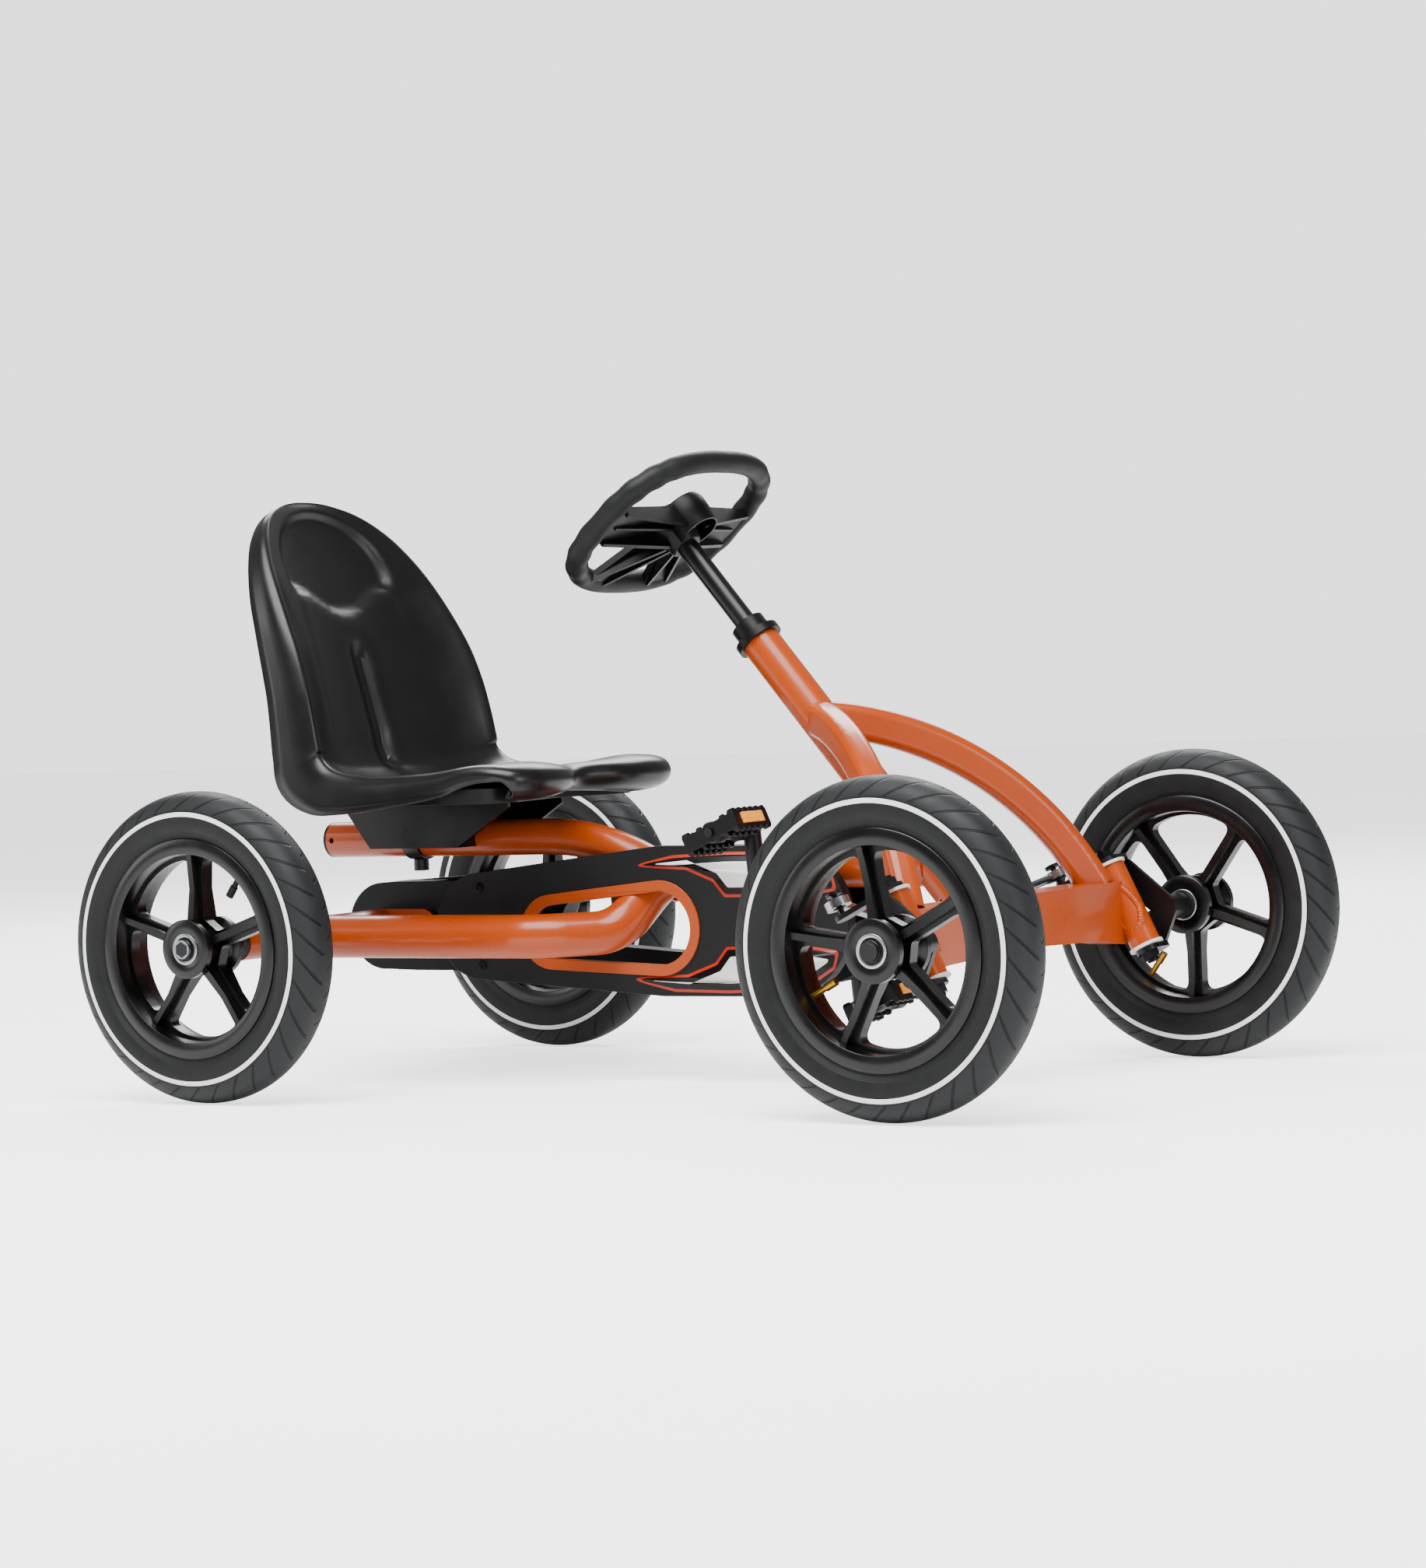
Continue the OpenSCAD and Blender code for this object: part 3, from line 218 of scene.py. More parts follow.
# %% Painted, moulded and metal surfaces
MAT = {
    # even orange with a soft clear shine
    "orange paint": surface("orange powder coat", "#aa4000", "#9c3800",
                            (0.26, 0.36), 900, 0.00004, coat=0.2, shine=0.35),
    # a little flatter than the paint beside it
    "orange plastic": surface("orange moulded plastic", "#a84100", "#9a3900",
                            (0.3, 0.4), 1400, 0.00005, coat=0.08, shine=0.35),
    # thin bright edges on black steel
    "black paint": surface("black powder coat", "#08080a", "#050506",
                            (0.26, 0.38), 1500, 0.00006, shine=0.4),
    # dull black of cases and cages
    "black plastic": surface("black moulded plastic", "#0a0a0b", "#060607",
                            (0.36, 0.48), 2200, 0.00006, shine=0.2),
    # broad satin panel
    "guard plastic": surface("satin black guard plastic", "#0f1010", "#0b0b0c",
                            (0.42, 0.52), 2600, 0.00006, shine=0.25),
    # glossy black, so the ribs catch the light
    "wheel plastic": surface("glass-filled black plastic", "#060606", "#030304",
                            (0.22, 0.34), 1300, 0.00008, shine=0.4),
    # satin with soft long highlights
    "seat plastic": surface("blow-moulded seat plastic", "#0a0a0b", "#070708",
                            (0.28, 0.38), 1100, 0.0001, shine=0.42),
    # matt, to read as soft
    "grip": surface("soft black grip", "#141516", "#0d0e0f", (0.5, 0.62), 3000, 0.00012, shine=0.25),
    # bright, slightly cloudy metal
    "zinc": surface("bright zinc plate", "#b4b7ba", "#8b8f93", (0.2, 0.36), 1800, 0.00004, metallic=1.0),
    # oiled dark metal
    "dark steel": surface("blackened steel", "#242628", "#16181a",
                            (0.3, 0.45), 1800, 0.00004, metallic=0.9),
    # small warm glints
    "brass": surface("bare brass", "#b5852f", "#946620", (0.22, 0.36), 1500, 0.00004, metallic=1.0),
    # milky white
    "nylon": surface("white nylon", "#e2dfd8", "#d2cec5", (0.4, 0.5), 1500, 0.00005),
    # smooth white film
    "white vinyl": surface("white vinyl", "#f2f2f0", "#e8e8e6", (0.3, 0.38), 900, 0.00003),
    # smooth black film
    "black vinyl": surface("black vinyl", "#050506", "#040404", (0.3, 0.38), 900, 0.00003, shine=0.3),
    # red edge of the points
    "orange vinyl": surface("orange-red vinyl", "#b82600", "#aa2000", (0.3, 0.38), 900, 0.00003),
    # matt black stems
    "black rubber": surface("black rubber valve", "#0a0a0b", "#060607",
                            (0.5, 0.62), 1800, 0.00008, shine=0.25),
    # matt ring between bright races
    "seal": surface("black rubber seal", "#08080a", "#050506", (0.5, 0.62), 1800, 0.00008, shine=0.25),
}
print(len(MAT), "surfaces")


def lens_material():
    """Amber reflector: a grid of small prisms under a clear face, with a weak painted glow."""
    m, t, s = start_material("amber prismatic lens")
    coords = add(t, "ShaderNodeTexCoord").outputs["Object"]
    cells = add(t, "ShaderNodeTexVoronoi", {"Vector": coords, "Scale": 420.0})
    tint = mix(t, spread(t, cells.outputs["Distance"], 0.0, 1.0), colour("#ff8a00"), colour("#ffb638"))
    t.links.new(tint, s.inputs["Base Color"])
    s.inputs["Roughness"].default_value = 0.12
    s.inputs["Coat Weight"].default_value = 1.0
    # painted glow: a weak orange emission stands in for the light the prisms send back, though the reflector
    # is no lamp
    s.inputs["Emission Color"].default_value = colour("#ff7a00")
    s.inputs["Emission Strength"].default_value = 0.12
    bump(t, s, cells.outputs["Distance"], 0.5, 0.0006)
    return m


MAT["amber"] = lens_material()

# %% [markdown]
# ## Tyre rubber
# Small tyres have shallow slanting grooves and a painted white line. Grooves could be cut in the mesh,
# but they are under 3 mm deep, so nodes draw them from the tyre's own UVs.

# %% Tyre rubber with grooves, rings and the white line
GROOVES = 34
TREAD_EDGE, LINE_IN, LINE_OUT = 0.385, 0.41, 0.462


def tyre_material():
    """UV: x is the turn round the wheel, y the turn round the section from the tread's middle."""
    m, t, s = start_material("tyre rubber with white line")
    uv = add(t, "ShaderNodeSeparateXYZ", {"Vector": add(t, "ShaderNodeUVMap", uv_map="tyre").outputs[0]})
    turn, around = uv.outputs[0], uv.outputs[1]
    off = maths(t, "ABSOLUTE", around)
    sweep = maths(t, "MULTIPLY", maths(t, "POWER", off, 1.5), -4.6)
    shift = maths(t, "MULTIPLY", maths(t, "SIGN", around), 0.25)
    phase = maths(t, "FRACT", maths(t, "ADD", maths(t, "MULTIPLY_ADD", turn, float(GROOVES), sweep), shift))
    gap = maths(t, "ABSOLUTE", maths(t, "SUBTRACT", phase, 0.5))
    groove = add(t, "ShaderNodeMapRange", {"Value": gap, "From Min": 0.025, "From Max": 0.075,
                                           "To Min": 1.0, "To Max": 0.0},
                 interpolation_type="SMOOTHSTEP").outputs["Result"]
    inside = maths(t, "MULTIPLY", maths(t, "LESS_THAN", off, TREAD_EDGE), maths(t, "GREATER_THAN", off, 0.03))
    groove = maths(t, "MULTIPLY", groove, inside)
    line = maths(t, "MULTIPLY", maths(t, "GREATER_THAN", off, LINE_IN), maths(t, "LESS_THAN", off, LINE_OUT))
    rings = maths(t, "MULTIPLY", maths(t, "SINE", maths(t, "MULTIPLY", off, 300.0)),
                  maths(t, "GREATER_THAN", off, 0.63))
    worn = noise(t, 60, 6.0)
    rubber = mix(t, spread(t, worn, 0.0, 1.0), colour("#0b0c0d"), colour("#121314"))
    scuffed = mix(t, worn, colour("#161819"), colour("#1f2123"))
    tread = mix(t, maths(t, "LESS_THAN", off, TREAD_EDGE), rubber, scuffed)
    # painted shade: the grooves are coloured near black, as if shade lay in them, on top of their bump
    dark = mix(t, groove, tread, colour("#030303"))
    painted = mix(t, line, dark, mix(t, worn, colour("#e9e9e7"), colour("#fafaf8")))
    t.links.new(painted, s.inputs["Base Color"])
    t.links.new(spread(t, worn, 0.46, 0.6), s.inputs["Roughness"])
    s.inputs["Specular IOR Level"].default_value = 0.28
    height = maths(t, "SUBTRACT", maths(t, "MULTIPLY", rings, 0.06), groove)
    height = maths(t, "ADD", height, maths(t, "MULTIPLY", noise(t, 1500, 3.0), 0.08))
    bump(t, s, height, 1.0, 0.0024)
    return m


MAT["tyre"] = tyre_material()
print(len(MAT), "materials")

# %% [markdown]
# ## Mesh helpers
# Pieces are closed meshes with their place in the mesh itself.

# %% Mesh helpers
def finish_piece(obj, material, body, replaces=(), smooth=True, bevel=None):
    """Normals outwards, modifiers, material, body and the CAD nodes it stands for."""
    bm = bmesh.new()
    bm.from_mesh(obj.data)
    bmesh.ops.remove_doubles(bm, verts=bm.verts, dist=1e-7)
    bmesh.ops.recalc_face_normals(bm, faces=bm.faces)
    for f in bm.faces:
        f.smooth = smooth
    bm.to_mesh(obj.data)
    bm.free()
    obj.data.materials.clear()
    obj.data.materials.append(MAT[material])
    if bevel:
        b = obj.modifiers.new("edges", "BEVEL")
        b.width, b.segments, b.limit_method, b.angle_limit = bevel, 3, "ANGLE", math.radians(40)
        b.harden_normals = True
    if replaces:
        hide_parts(*replaces)
    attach(obj, body)
    return obj


def new_piece(name, verts, faces):
    me = bpy.data.meshes.new(name)
    me.from_pydata([tuple(v) for v in verts], [], [tuple(f) for f in faces])
    obj = bpy.data.objects.new(name, me)
    bpy.context.collection.objects.link(obj)
    return obj


def grid_faces(nu, nv, wrap_u=True, wrap_v=False, start=0):
    """Faces of a grid of nv rows with nu points each."""
    out = []
    for j in range(nv if wrap_v else nv - 1):
        for i in range(nu if wrap_u else nu - 1):
            a, b = i, (i + 1) % nu
            c, d = j, (j + 1) % nv
            out.append((start + c * nu + a, start + c * nu + b, start + d * nu + b, start + d * nu + a))
    return out


def tube(points, radius, sides=20, closed=False):
    """Verts and faces of a round bar along points. radius is a number or one per point."""
    p = [Vector(q) for q in points]
    n = len(p)
    rad = [radius] * n if isinstance(radius, (int, float)) else list(radius)
    verts, last = [], None
    for i in range(n):
        nxt, prv = (p[(i + 1) % n], p[i - 1]) if closed else (p[min(i + 1, n - 1)], p[max(i - 1, 0)])
        d = (nxt - prv).normalized()
        if last is None:
            last = d.orthogonal().normalized()
        side = (last - d * last.dot(d)).normalized()
        last = side
        other = d.cross(side)
        for k in range(sides):
            a = 2 * math.pi * k / sides
            verts.append(p[i] + rad[i] * (math.cos(a) * side + math.sin(a) * other))
    faces = grid_faces(sides, n, True, closed)
    if not closed:
        faces += [tuple(range(sides))[::-1], tuple(range((n - 1) * sides, n * sides))]
    return verts, faces


def lathe(profile, place, segments=96):
    """Verts and faces of a closed profile of (radius, along), turned. place maps (x, y, z) to the frame."""
    verts = []
    for j in range(segments):
        a = 2 * math.pi * j / segments
        verts += [place(Vector((r * math.cos(a), r * math.sin(a), z))) for r, z in profile]
    return verts, grid_faces(len(profile), segments, True, True)


def join_parts(name, parts):
    """One object out of several (verts, faces) parts."""
    verts, faces = [], []
    for v, f in parts:
        base = len(verts)
        verts += v
        faces += [tuple(base + i for i in q) for q in f]
    return new_piece(name, verts, faces)


def apply_modifiers(obj):
    """obj's mesh with its modifiers applied."""
    done = bpy.data.meshes.new_from_object(obj.evaluated_get(bpy.context.evaluated_depsgraph_get()))
    obj.modifiers.clear()
    obj.data = done
    return obj


def arc(cx, cy, r, a0, a1, n=12):
    """Points of an arc from angle a0 to a1, in degrees."""
    return [(cx + r * math.cos(math.radians(a0 + (a1 - a0) * i / n)),
             cy + r * math.sin(math.radians(a0 + (a1 - a0) * i / n))) for i in range(n + 1)]


def rounded(corners, radii, n=8):
    """Closed outline through corners, each rounded at its own radius."""
    out = []
    k = len(corners)
    for i in range(k):
        p, a, b = Vector(corners[i]), Vector(corners[i - 1]), Vector(corners[(i + 1) % k])
        u, v = (a - p).normalized(), (b - p).normalized()
        half = math.acos(max(-1, min(1, u.dot(v)))) / 2
        r = radii[i] if isinstance(radii, (list, tuple)) else radii
        cutback = min(r / math.tan(half), 0.48 * (a - p).length, 0.48 * (b - p).length)
        s, e = p + u * cutback, p + v * cutback
        out += [tuple(s.lerp(p, j / n).lerp(p.lerp(e, j / n), j / n)) for j in range(n + 1)]
    return out


print("mesh helpers ready")

# %% [markdown]
# ## Repeating a shape
# A moulded wheel repeats one spoke round its hub. Each could be modelled by hand, but a tree that
# turns one shape into a number of copies keeps them equal and lets the number change.

# %% Tree helpers
def start_tree(name, seed, inputs):
    """A tree with its named inputs, the outputs of its input node, and its output node."""
    t = bpy.data.node_groups.new(name, "GeometryNodeTree")
    t.interface.new_socket("Geometry", in_out="INPUT", socket_type="NodeSocketGeometry")
    inputs = inputs + [("Seed", "NodeSocketInt", seed), ("Material", "NodeSocketMaterial", None)]
    for label, kind, value in inputs:
        socket = t.interface.new_socket(label, in_out="INPUT", socket_type=kind)
        if value is not None:
            socket.default_value = value
    t.interface.new_socket("Geometry", in_out="OUTPUT", socket_type="NodeSocketGeometry")
    return t, t.nodes.new("NodeGroupInput").outputs, t.nodes.new("NodeGroupOutput")


def paint_and_end(t, shape, material, end):
    """The tree's shape gets its material and goes out."""
    painted = add(t, "GeometryNodeSetMaterial", {"Geometry": shape, "Material": material})
    t.links.new(painted.outputs[0], end.inputs[0])


def run_tree(obj, tree, values):
    """obj's mesh becomes what the tree makes of it."""
    mod = obj.modifiers.new(tree.name, "NODES")
    mod.node_group = tree
    keys = {i.name: i.identifier for i in tree.interface.items_tree if i.in_out == "INPUT"}
    for name, value in values.items():
        mod[keys[name]] = value
    return apply_modifiers(obj)


# %% Repeat round an axis
def repeat_tree():
    t, given, end = start_tree("repeat round an axis", 1, [
        ("Count", "NodeSocketInt", 5), ("Centre", "NodeSocketVector", (0, 0, 0)),
        ("Axis", "NodeSocketVector", (0, 1, 0))])
    points = add(t, "GeometryNodePoints", {"Count": given["Count"]})
    copies = add(t, "GeometryNodeInstanceOnPoints", {"Points": points.outputs[0],
                                                     "Instance": given["Geometry"]})
    one_turn = maths(t, "DIVIDE", 2 * math.pi, given["Count"])
    angle = maths(t, "MULTIPLY", one_turn, add(t, "GeometryNodeInputIndex").outputs[0])
    turn = add(t, "ShaderNodeVectorMath", {0: given["Axis"], "Scale": angle}, operation="SCALE")
    spun = add(t, "GeometryNodeRotateInstances", {
        "Instances": copies.outputs[0], "Rotation": turn.outputs[0],
        "Pivot Point": given["Centre"], "Local Space": False})
    real = add(t, "GeometryNodeRealizeInstances", {"Geometry": spun.outputs[0]})
    paint_and_end(t, real.outputs[0], given["Material"], end)
    return t


REPEAT = repeat_tree()
print("tree", REPEAT.name)

# %% [markdown]
# ## Finishes on the tubes, plates and castings
# The welded frame keeps its exact CAD shapes. Powder coat, plated steel and moulded plastic
# differ mostly in gloss and grain, so each shape only needs the right material.

# %% Materials of the CAD parts
CAD_FINISH = {
    "orange paint": ["main_tube", "seat_tube", "axle_housings", "axle_yoke", "crank_shell", "swing_bush",
                     "head_tube", "front_tube", "arches", "front_beam", "kingpin_tubes"],
    "black plastic": ["seat_tube_plug", "chain_case_right", "chain_case_left", "collar_bush"],
    "black paint": ["seat_bracket", "seat_clamp", "column", "pitman_arm", "knuckle_left", "knuckle_right",
                    "crank"],
    "zinc": ["frame_bearings", "swing_pin", "tie_rod_left", "tie_rod_right", "rear_axle"],
    "dark steel": ["chain", "drive_hub", "chainring", "kingpin_bolt_left", "kingpin_bolt_right"],
    "nylon": ["kingpin_bushes"],
    "brass": ["valve_front_left", "valve_front_right"],
    "black rubber": ["valve_rear_left", "valve_rear_right"],
}
for finish, names in CAD_FINISH.items():
    for name in names:
        data = NODES[name].data
        if not data.materials:
            data.materials.append(MAT[finish])
        for i in range(len(data.materials)):
            data.materials[i] = MAT[finish]
        print(name, "in", finish)

# %% [markdown]
# ## Pieces drawn in millimetres
# A maker measures these parts in millimetres, so they are drawn so and scaled once at the end.

# %% Small helpers for pieces drawn in millimetres
CORNERS = {"front_left": (407, 305.5, 270), "front_right": (407, -305.5, 100),
           "rear_left": (-407, 305.5, 90), "rear_right": (-407, -305.5, 90)}
AXLE_HEIGHT = 159


def body(node):
    """Name of the body that a CAD node rides on."""
    found = body_of(NODES[node])
    return found if isinstance(found, str) else found[0]


def wheel_place(corner):
    """Maps a wheel's own (x, y, outward) in mm to the frame, in mm, with the wheel's turn."""
    cx, cy, degrees = CORNERS[corner]
    out = 1 if cy > 0 else -1
    c, s = math.cos(math.radians(degrees)), math.sin(math.radians(degrees))
    return lambda v: Vector((cx + v[0] * c - v[1] * s, cy + out * v[2], AXLE_HEIGHT + v[0] * s + v[1] * c))


def scaled_piece(name, parts):
    """One object in metres out of parts in millimetres."""
    return join_parts(name, [([Vector(v) / 1000 for v in verts], faces) for verts, faces in parts])


def flat_plate(outlines, low, high, place):
    """Verts and faces of a plate between two heights, with holes. place maps (x, y, height) to the frame."""
    cu = bpy.data.curves.new("outline", "CURVE")
    cu.dimensions, cu.fill_mode, cu.extrude = "2D", "BOTH", (high - low) / 2
    for pts in outlines:
        sp = cu.splines.new("POLY")
        sp.points.add(len(pts) - 1)
        for q, xy in zip(sp.points, pts):
            q.co = (xy[0], xy[1], 0, 1)
        sp.use_cyclic_u = True
    tmp = bpy.data.objects.new("outline", cu)
    bpy.context.collection.objects.link(tmp)
    me = bpy.data.meshes.new_from_object(tmp.evaluated_get(bpy.context.evaluated_depsgraph_get()))
    mid = (low + high) / 2
    verts = [place((v.co.x, v.co.y, v.co.z + mid)) for v in me.vertices]
    faces = [tuple(f.vertices) for f in me.polygons]
    bpy.data.objects.remove(tmp)
    bpy.data.curves.remove(cu)
    bpy.data.meshes.remove(me)
    return verts, faces


def hull(circles, grow=0.0, n=40):
    """Outline round circles (x, y, radius), as a belt round pulleys."""
    pts = sorted({(round(x + (r + grow) * math.cos(2 * math.pi * k / n), 4),
                   round(y + (r + grow) * math.sin(2 * math.pi * k / n), 4))
                  for x, y, r in circles for k in range(n)})

    def half(seq):
        out = []
        for p in seq:
            while len(out) > 1 and ((out[-1][0] - out[-2][0]) * (p[1] - out[-2][1])
                                    - (out[-1][1] - out[-2][1]) * (p[0] - out[-2][0])) <= 0:
                out.pop()
            out.append(p)
        return out[:-1]
    return half(pts) + half(pts[::-1])


print("four wheel places", list(CORNERS))

# %% [markdown]
# ## Tyres
# A pneumatic tyre is a ring of rubber with one cross-section, so it is turned on a lathe.
# Its UVs say how far round the wheel and how far round the section each point is,
# and the rubber's nodes draw the tread, the white line and the bead rings from them.

# %% Tyres
TYRE_MIDDLE, TYRE_ROUND, BEAD_SEAT, BEAD_HALF = 131.0, 28.0, 104.3, 20.6
SECTION_TURN, SECTION_POWER = 128, 2.3


def tyre(corner):
    place = wheel_place(corner)
    outer = [SECTION_TURN * (2 * i / 48 - 1) for i in range(49)]
    profile = []
    for a in outer:
        c, s = math.cos(math.radians(a)), math.sin(math.radians(a))
        square = 1 / (abs(c) ** SECTION_POWER + abs(s) ** SECTION_POWER) ** (1 / SECTION_POWER)
        reach = min(square, 1.0 / max(abs(c), abs(s)))
        profile.append((TYRE_MIDDLE + TYRE_ROUND * c * reach, TYRE_ROUND * s * reach, a / 180))
    profile += [(BEAD_SEAT, BEAD_HALF, 0.8), (BEAD_SEAT, 7, 0.9),
                (BEAD_SEAT, -7, -0.9), (BEAD_SEAT, -BEAD_HALF, -0.8)]
    segments, n = 128, len(profile)
    verts = [place((r * math.cos(2 * math.pi * j / segments), r * math.sin(2 * math.pi * j / segments), z))
             for j in range(segments) for r, z, a in profile]
    obj = scaled_piece("tyre_" + corner, [(verts, grid_faces(n, segments, True, True))])
    layer = obj.data.uv_layers.new(name="tyre")
    for face in obj.data.polygons:
        rows = [obj.data.loops[k].vertex_index // n for k in face.loop_indices]
        for k, row in zip(face.loop_indices, rows):
            if max(rows) - min(rows) > 1 and row == 0:
                row = segments
            layer.data[k].uv = (row / segments, profile[obj.data.loops[k].vertex_index % n][2])
    return finish_piece(obj, "tyre", body("tyre_" + corner), ["tyre_" + corner])


for corner in CORNERS:
    print(tyre(corner).name)

# %% [markdown]
# ## Wheels
# Each moulded wheel is a rim, a hub and five spokes with a rib along the middle.
# One rib is made and the repeat tree turns it into five.

# %% Wheels
SPOKES, SPOKE_HALF, WEB_HALF = 5, 8.2, 6.5
# the turned sections: radius, and distance outward along the axle
RIM_PROFILE = [
    (97.2, -25), (110.6, -25.2), (112, -24.2), (112, -21.8), (110.8, -21), (104.6, -20.6), (104.2, -19),
    (104.2, 19), (104.6, 20.6), (110.8, 21), (112, 21.8), (112, 24.2), (110.6, 25.2), (97.2, 25),
    (96, 24.2), (95.2, 19), (94.6, 9), (94.6, -9), (95.2, -19), (96, -24.2)]
HUB_PROFILE = [
    (16.2, -28.6), (16.8, -29), (28.6, -29), (30, -28), (30, -21.4), (28.6, -20), (23, -19.2), (21, -17),
    (21, 17), (23, 19.2), (28.6, 20), (30, 21.4), (30, 28), (28.6, 29), (16.8, 29), (16.2, 28.6),
    (16.2, 19), (10, 19), (10, -19), (16.2, -19)]


def window_outline(middle_angle, inner=30.0, outer=91.5):
    """A window between two spokes, with rounded corners."""
    def at(r, degrees):
        a = math.radians(middle_angle + degrees)
        return (r * math.cos(a), r * math.sin(a))
    near, far = (180 / SPOKES - math.degrees(math.asin(SPOKE_HALF / r)) for r in (inner, outer))
    arc_points = [at(outer, far * k / 4) for k in range(-2, 3)]
    corners = [at(inner, -near), at(outer, -far)] + arc_points + [at(outer, far), at(inner, near)]
    return rounded(corners, [6, 13] + [60] * 5 + [13, 6], 8)


def wheel_parts():
    """Rim, hub, pierced web and five ribs of a wheel, in its own mm."""
    circle = arc(0, 0, 97.5, 0, 357, 119)
    windows = [window_outline((k + 0.5) * 360 / SPOKES) for k in range(SPOKES)]
    web = flat_plate([circle] + windows, -WEB_HALF, WEB_HALF, Vector)
    rib = [(18, -4.2, 20), (60, -3.4, 14), (96, -3.2, 17), (96, 3.2, 17), (60, 3.4, 14), (18, 4.2, 20)]
    low, high = [(x, y, -h) for x, y, h in rib], [(x, y, h) for x, y, h in rib]
    sides = [(i, (i + 1) % 6, 6 + (i + 1) % 6, 6 + i) for i in range(6)]
    ends = [(0, 5, 4, 1), (1, 4, 3, 2), (6, 7, 10, 11), (7, 8, 9, 10)]
    one = join_parts("spoke_rib", [(low + high, sides + ends)])
    ribs = run_tree(one, REPEAT, {"Count": SPOKES, "Centre": (0, 0, 0), "Axis": (0, 0, 1),
                                  "Material": MAT["wheel plastic"]}).data
    out = [lathe(RIM_PROFILE, Vector, 120), lathe(HUB_PROFILE, Vector, 64), web,
           ([v.co.copy() for v in ribs.vertices], [tuple(f.vertices) for f in ribs.polygons])]
    bpy.data.objects.remove(one)
    return out


WHEEL = wheel_parts()
for corner in CORNERS:
    place = wheel_place(corner)
    obj = scaled_piece("wheel_" + corner, [([place(v) for v in verts], faces) for verts, faces in WHEEL])
    finish_piece(obj, "wheel plastic", body("wheel_" + corner), ["wheel_" + corner],
                 bevel=0.0011)
    print(obj.name, len(obj.data.polygons), "faces")

# %% [markdown]
# ## Bearings and axle bolts
# A sealed ball bearing shows a bright outer race round a black seal. A black hexagon bolt with a
# washer closes the axle. All are turned or forged rounds, so they are lathed or capped prisms.

# %% Bearings and bolts
def ring(inner, outer, low, high, place, soft=0.4, n=64):
    """A turned ring with small rounded edges."""
    return lathe([(inner, low + soft), (inner + soft, low), (outer - soft, low), (outer, low + soft),
                  (outer, high - soft), (outer - soft, high), (inner + soft, high), (inner, high - soft)],
                 place, n)


def hexagon(r, low, high, place):
    """A hexagon head with a chamfered top."""
    rows = [(r, low), (r, high - 1), (r * 0.9, high)]
    verts = [place((q * math.cos(math.pi * k / 3), q * math.sin(math.pi * k / 3), z))
             for q, z in rows for k in range(6)]
    return verts, grid_faces(6, 3) + [(5, 4, 3, 2, 1, 0), (12, 13, 14, 15, 16, 17)]


for corner in CORNERS:
    place = wheel_place(corner)
    races = [ring(12.2, 16.1, z, z + 9.6, place) for z in (-29.2, 19.6)]
    obj = scaled_piece("races_" + corner, races)
    finish_piece(obj, "zinc", body("bearings_" + corner), ["bearings_" + corner])
    seals = [ring(6.2, 12.3, z, z + 8.4, place, 0.2) for z in (-28.6, 20.2)]
    finish_piece(scaled_piece("seals_" + corner, seals), "seal", body("bearings_" + corner))
    holder = "rear_axle" if corner.startswith("rear") else "knuckle_" + corner.split("_")[1]
    bolt = [ring(0.5, 10.2, 29.6, 31.0, place), hexagon(9.0, 30.8, 34.3, place)]
    finish_piece(scaled_piece("axle_bolt_" + corner, bolt), "black paint", body(holder),
                 smooth=False)
    print("bearing and bolt", corner)

# %% [markdown]
# ## Seat
# The bucket seat is one blow-moulded shell: a line down its middle, with a width, a side
# bolster and a rolled edge at every point of that line. Those numbers are interpolated, and the
# shell gets its wall. The real back has an open slot up its middle. The cutter below does not get
# through the wall, so the slot is a closed groove here.

# %% Seat shell
# along the middle: x, height, half width, bolster rise, skirt
SEAT_LINE = [
    (-150, 299, 124, 0, 0), (-132, 301, 132, 0, 2), (-121, 307, 142, 0, 5), (-119, 317, 148, 1, 9),
    (-128, 325, 153, 2, 14), (-150, 328, 156, 3, 19), (-180, 325, 159, 5, 23), (-220, 319, 161, 7, 27),
    (-262, 314, 163, 10, 31), (-305, 311, 164, 13, 36), (-340, 312, 165, 17, 44), (-366, 317, 165, 22, 54),
    (-388, 330, 165, 29, 62), (-399, 350, 165, 34, 58), (-408, 378, 164, 37, 54), (-417, 410, 162, 38, 50),
    (-427, 445, 158, 36, 47), (-438, 480, 152, 30, 41), (-451, 515, 143, 24, 35), (-464, 545, 131, 19, 28),
    (-476, 572, 114, 14, 22), (-485, 592, 94, 9, 16), (-491, 605, 73, 5, 11), (-495, 613, 51, 2, 7),
    (-498, 617.5, 29, 1, 3), (-499, 619.5, 10, 0, 1),
]
SEAT_ROWS, SEAT_COLUMNS, CREST, SEAT_WALL = 132, 64, 0.80, 9.0


def smooth_table(table, count):
    """A table resampled on a smooth curve through its rows (Catmull-Rom)."""
    t = np.array(table, float)
    pos = np.linspace(0, len(t) - 1, count)
    i = np.clip(pos.astype(int), 0, len(t) - 2)
    f = (pos - i)[:, None]
    p0, p1, p2, p3 = (t[np.clip(i + k, 0, len(t) - 1)] for k in (-1, 0, 1, 2))
    bend = (2 * p0 - 5 * p1 + 4 * p2 - p3) * f ** 2
    twist = (3 * p1 - p0 - 3 * p2 + p3) * f ** 3
    return 0.5 * (2 * p1 + (p2 - p0) * f + bend + twist)


def step(x, low, high):
    """0 below low, 1 above high, smooth between."""
    t = min(max((x - low) / (high - low), 0.0), 1.0)
    return float(t * t * (3 - 2 * t))


def seat_edge(a, half, rise, skirt):
    """Distance from the middle and lift, a of the way out: a dish to the crest, then a rolled edge."""
    if a <= CREST:
        k = a / CREST
        return half * 0.93 * k, rise * k ** 2.8
    k = (a - CREST) / (1 - CREST)
    return half * (0.93 + 0.07 * math.sin(min(k * 1.6, 1) * math.pi / 2)), rise - skirt * k ** 1.6


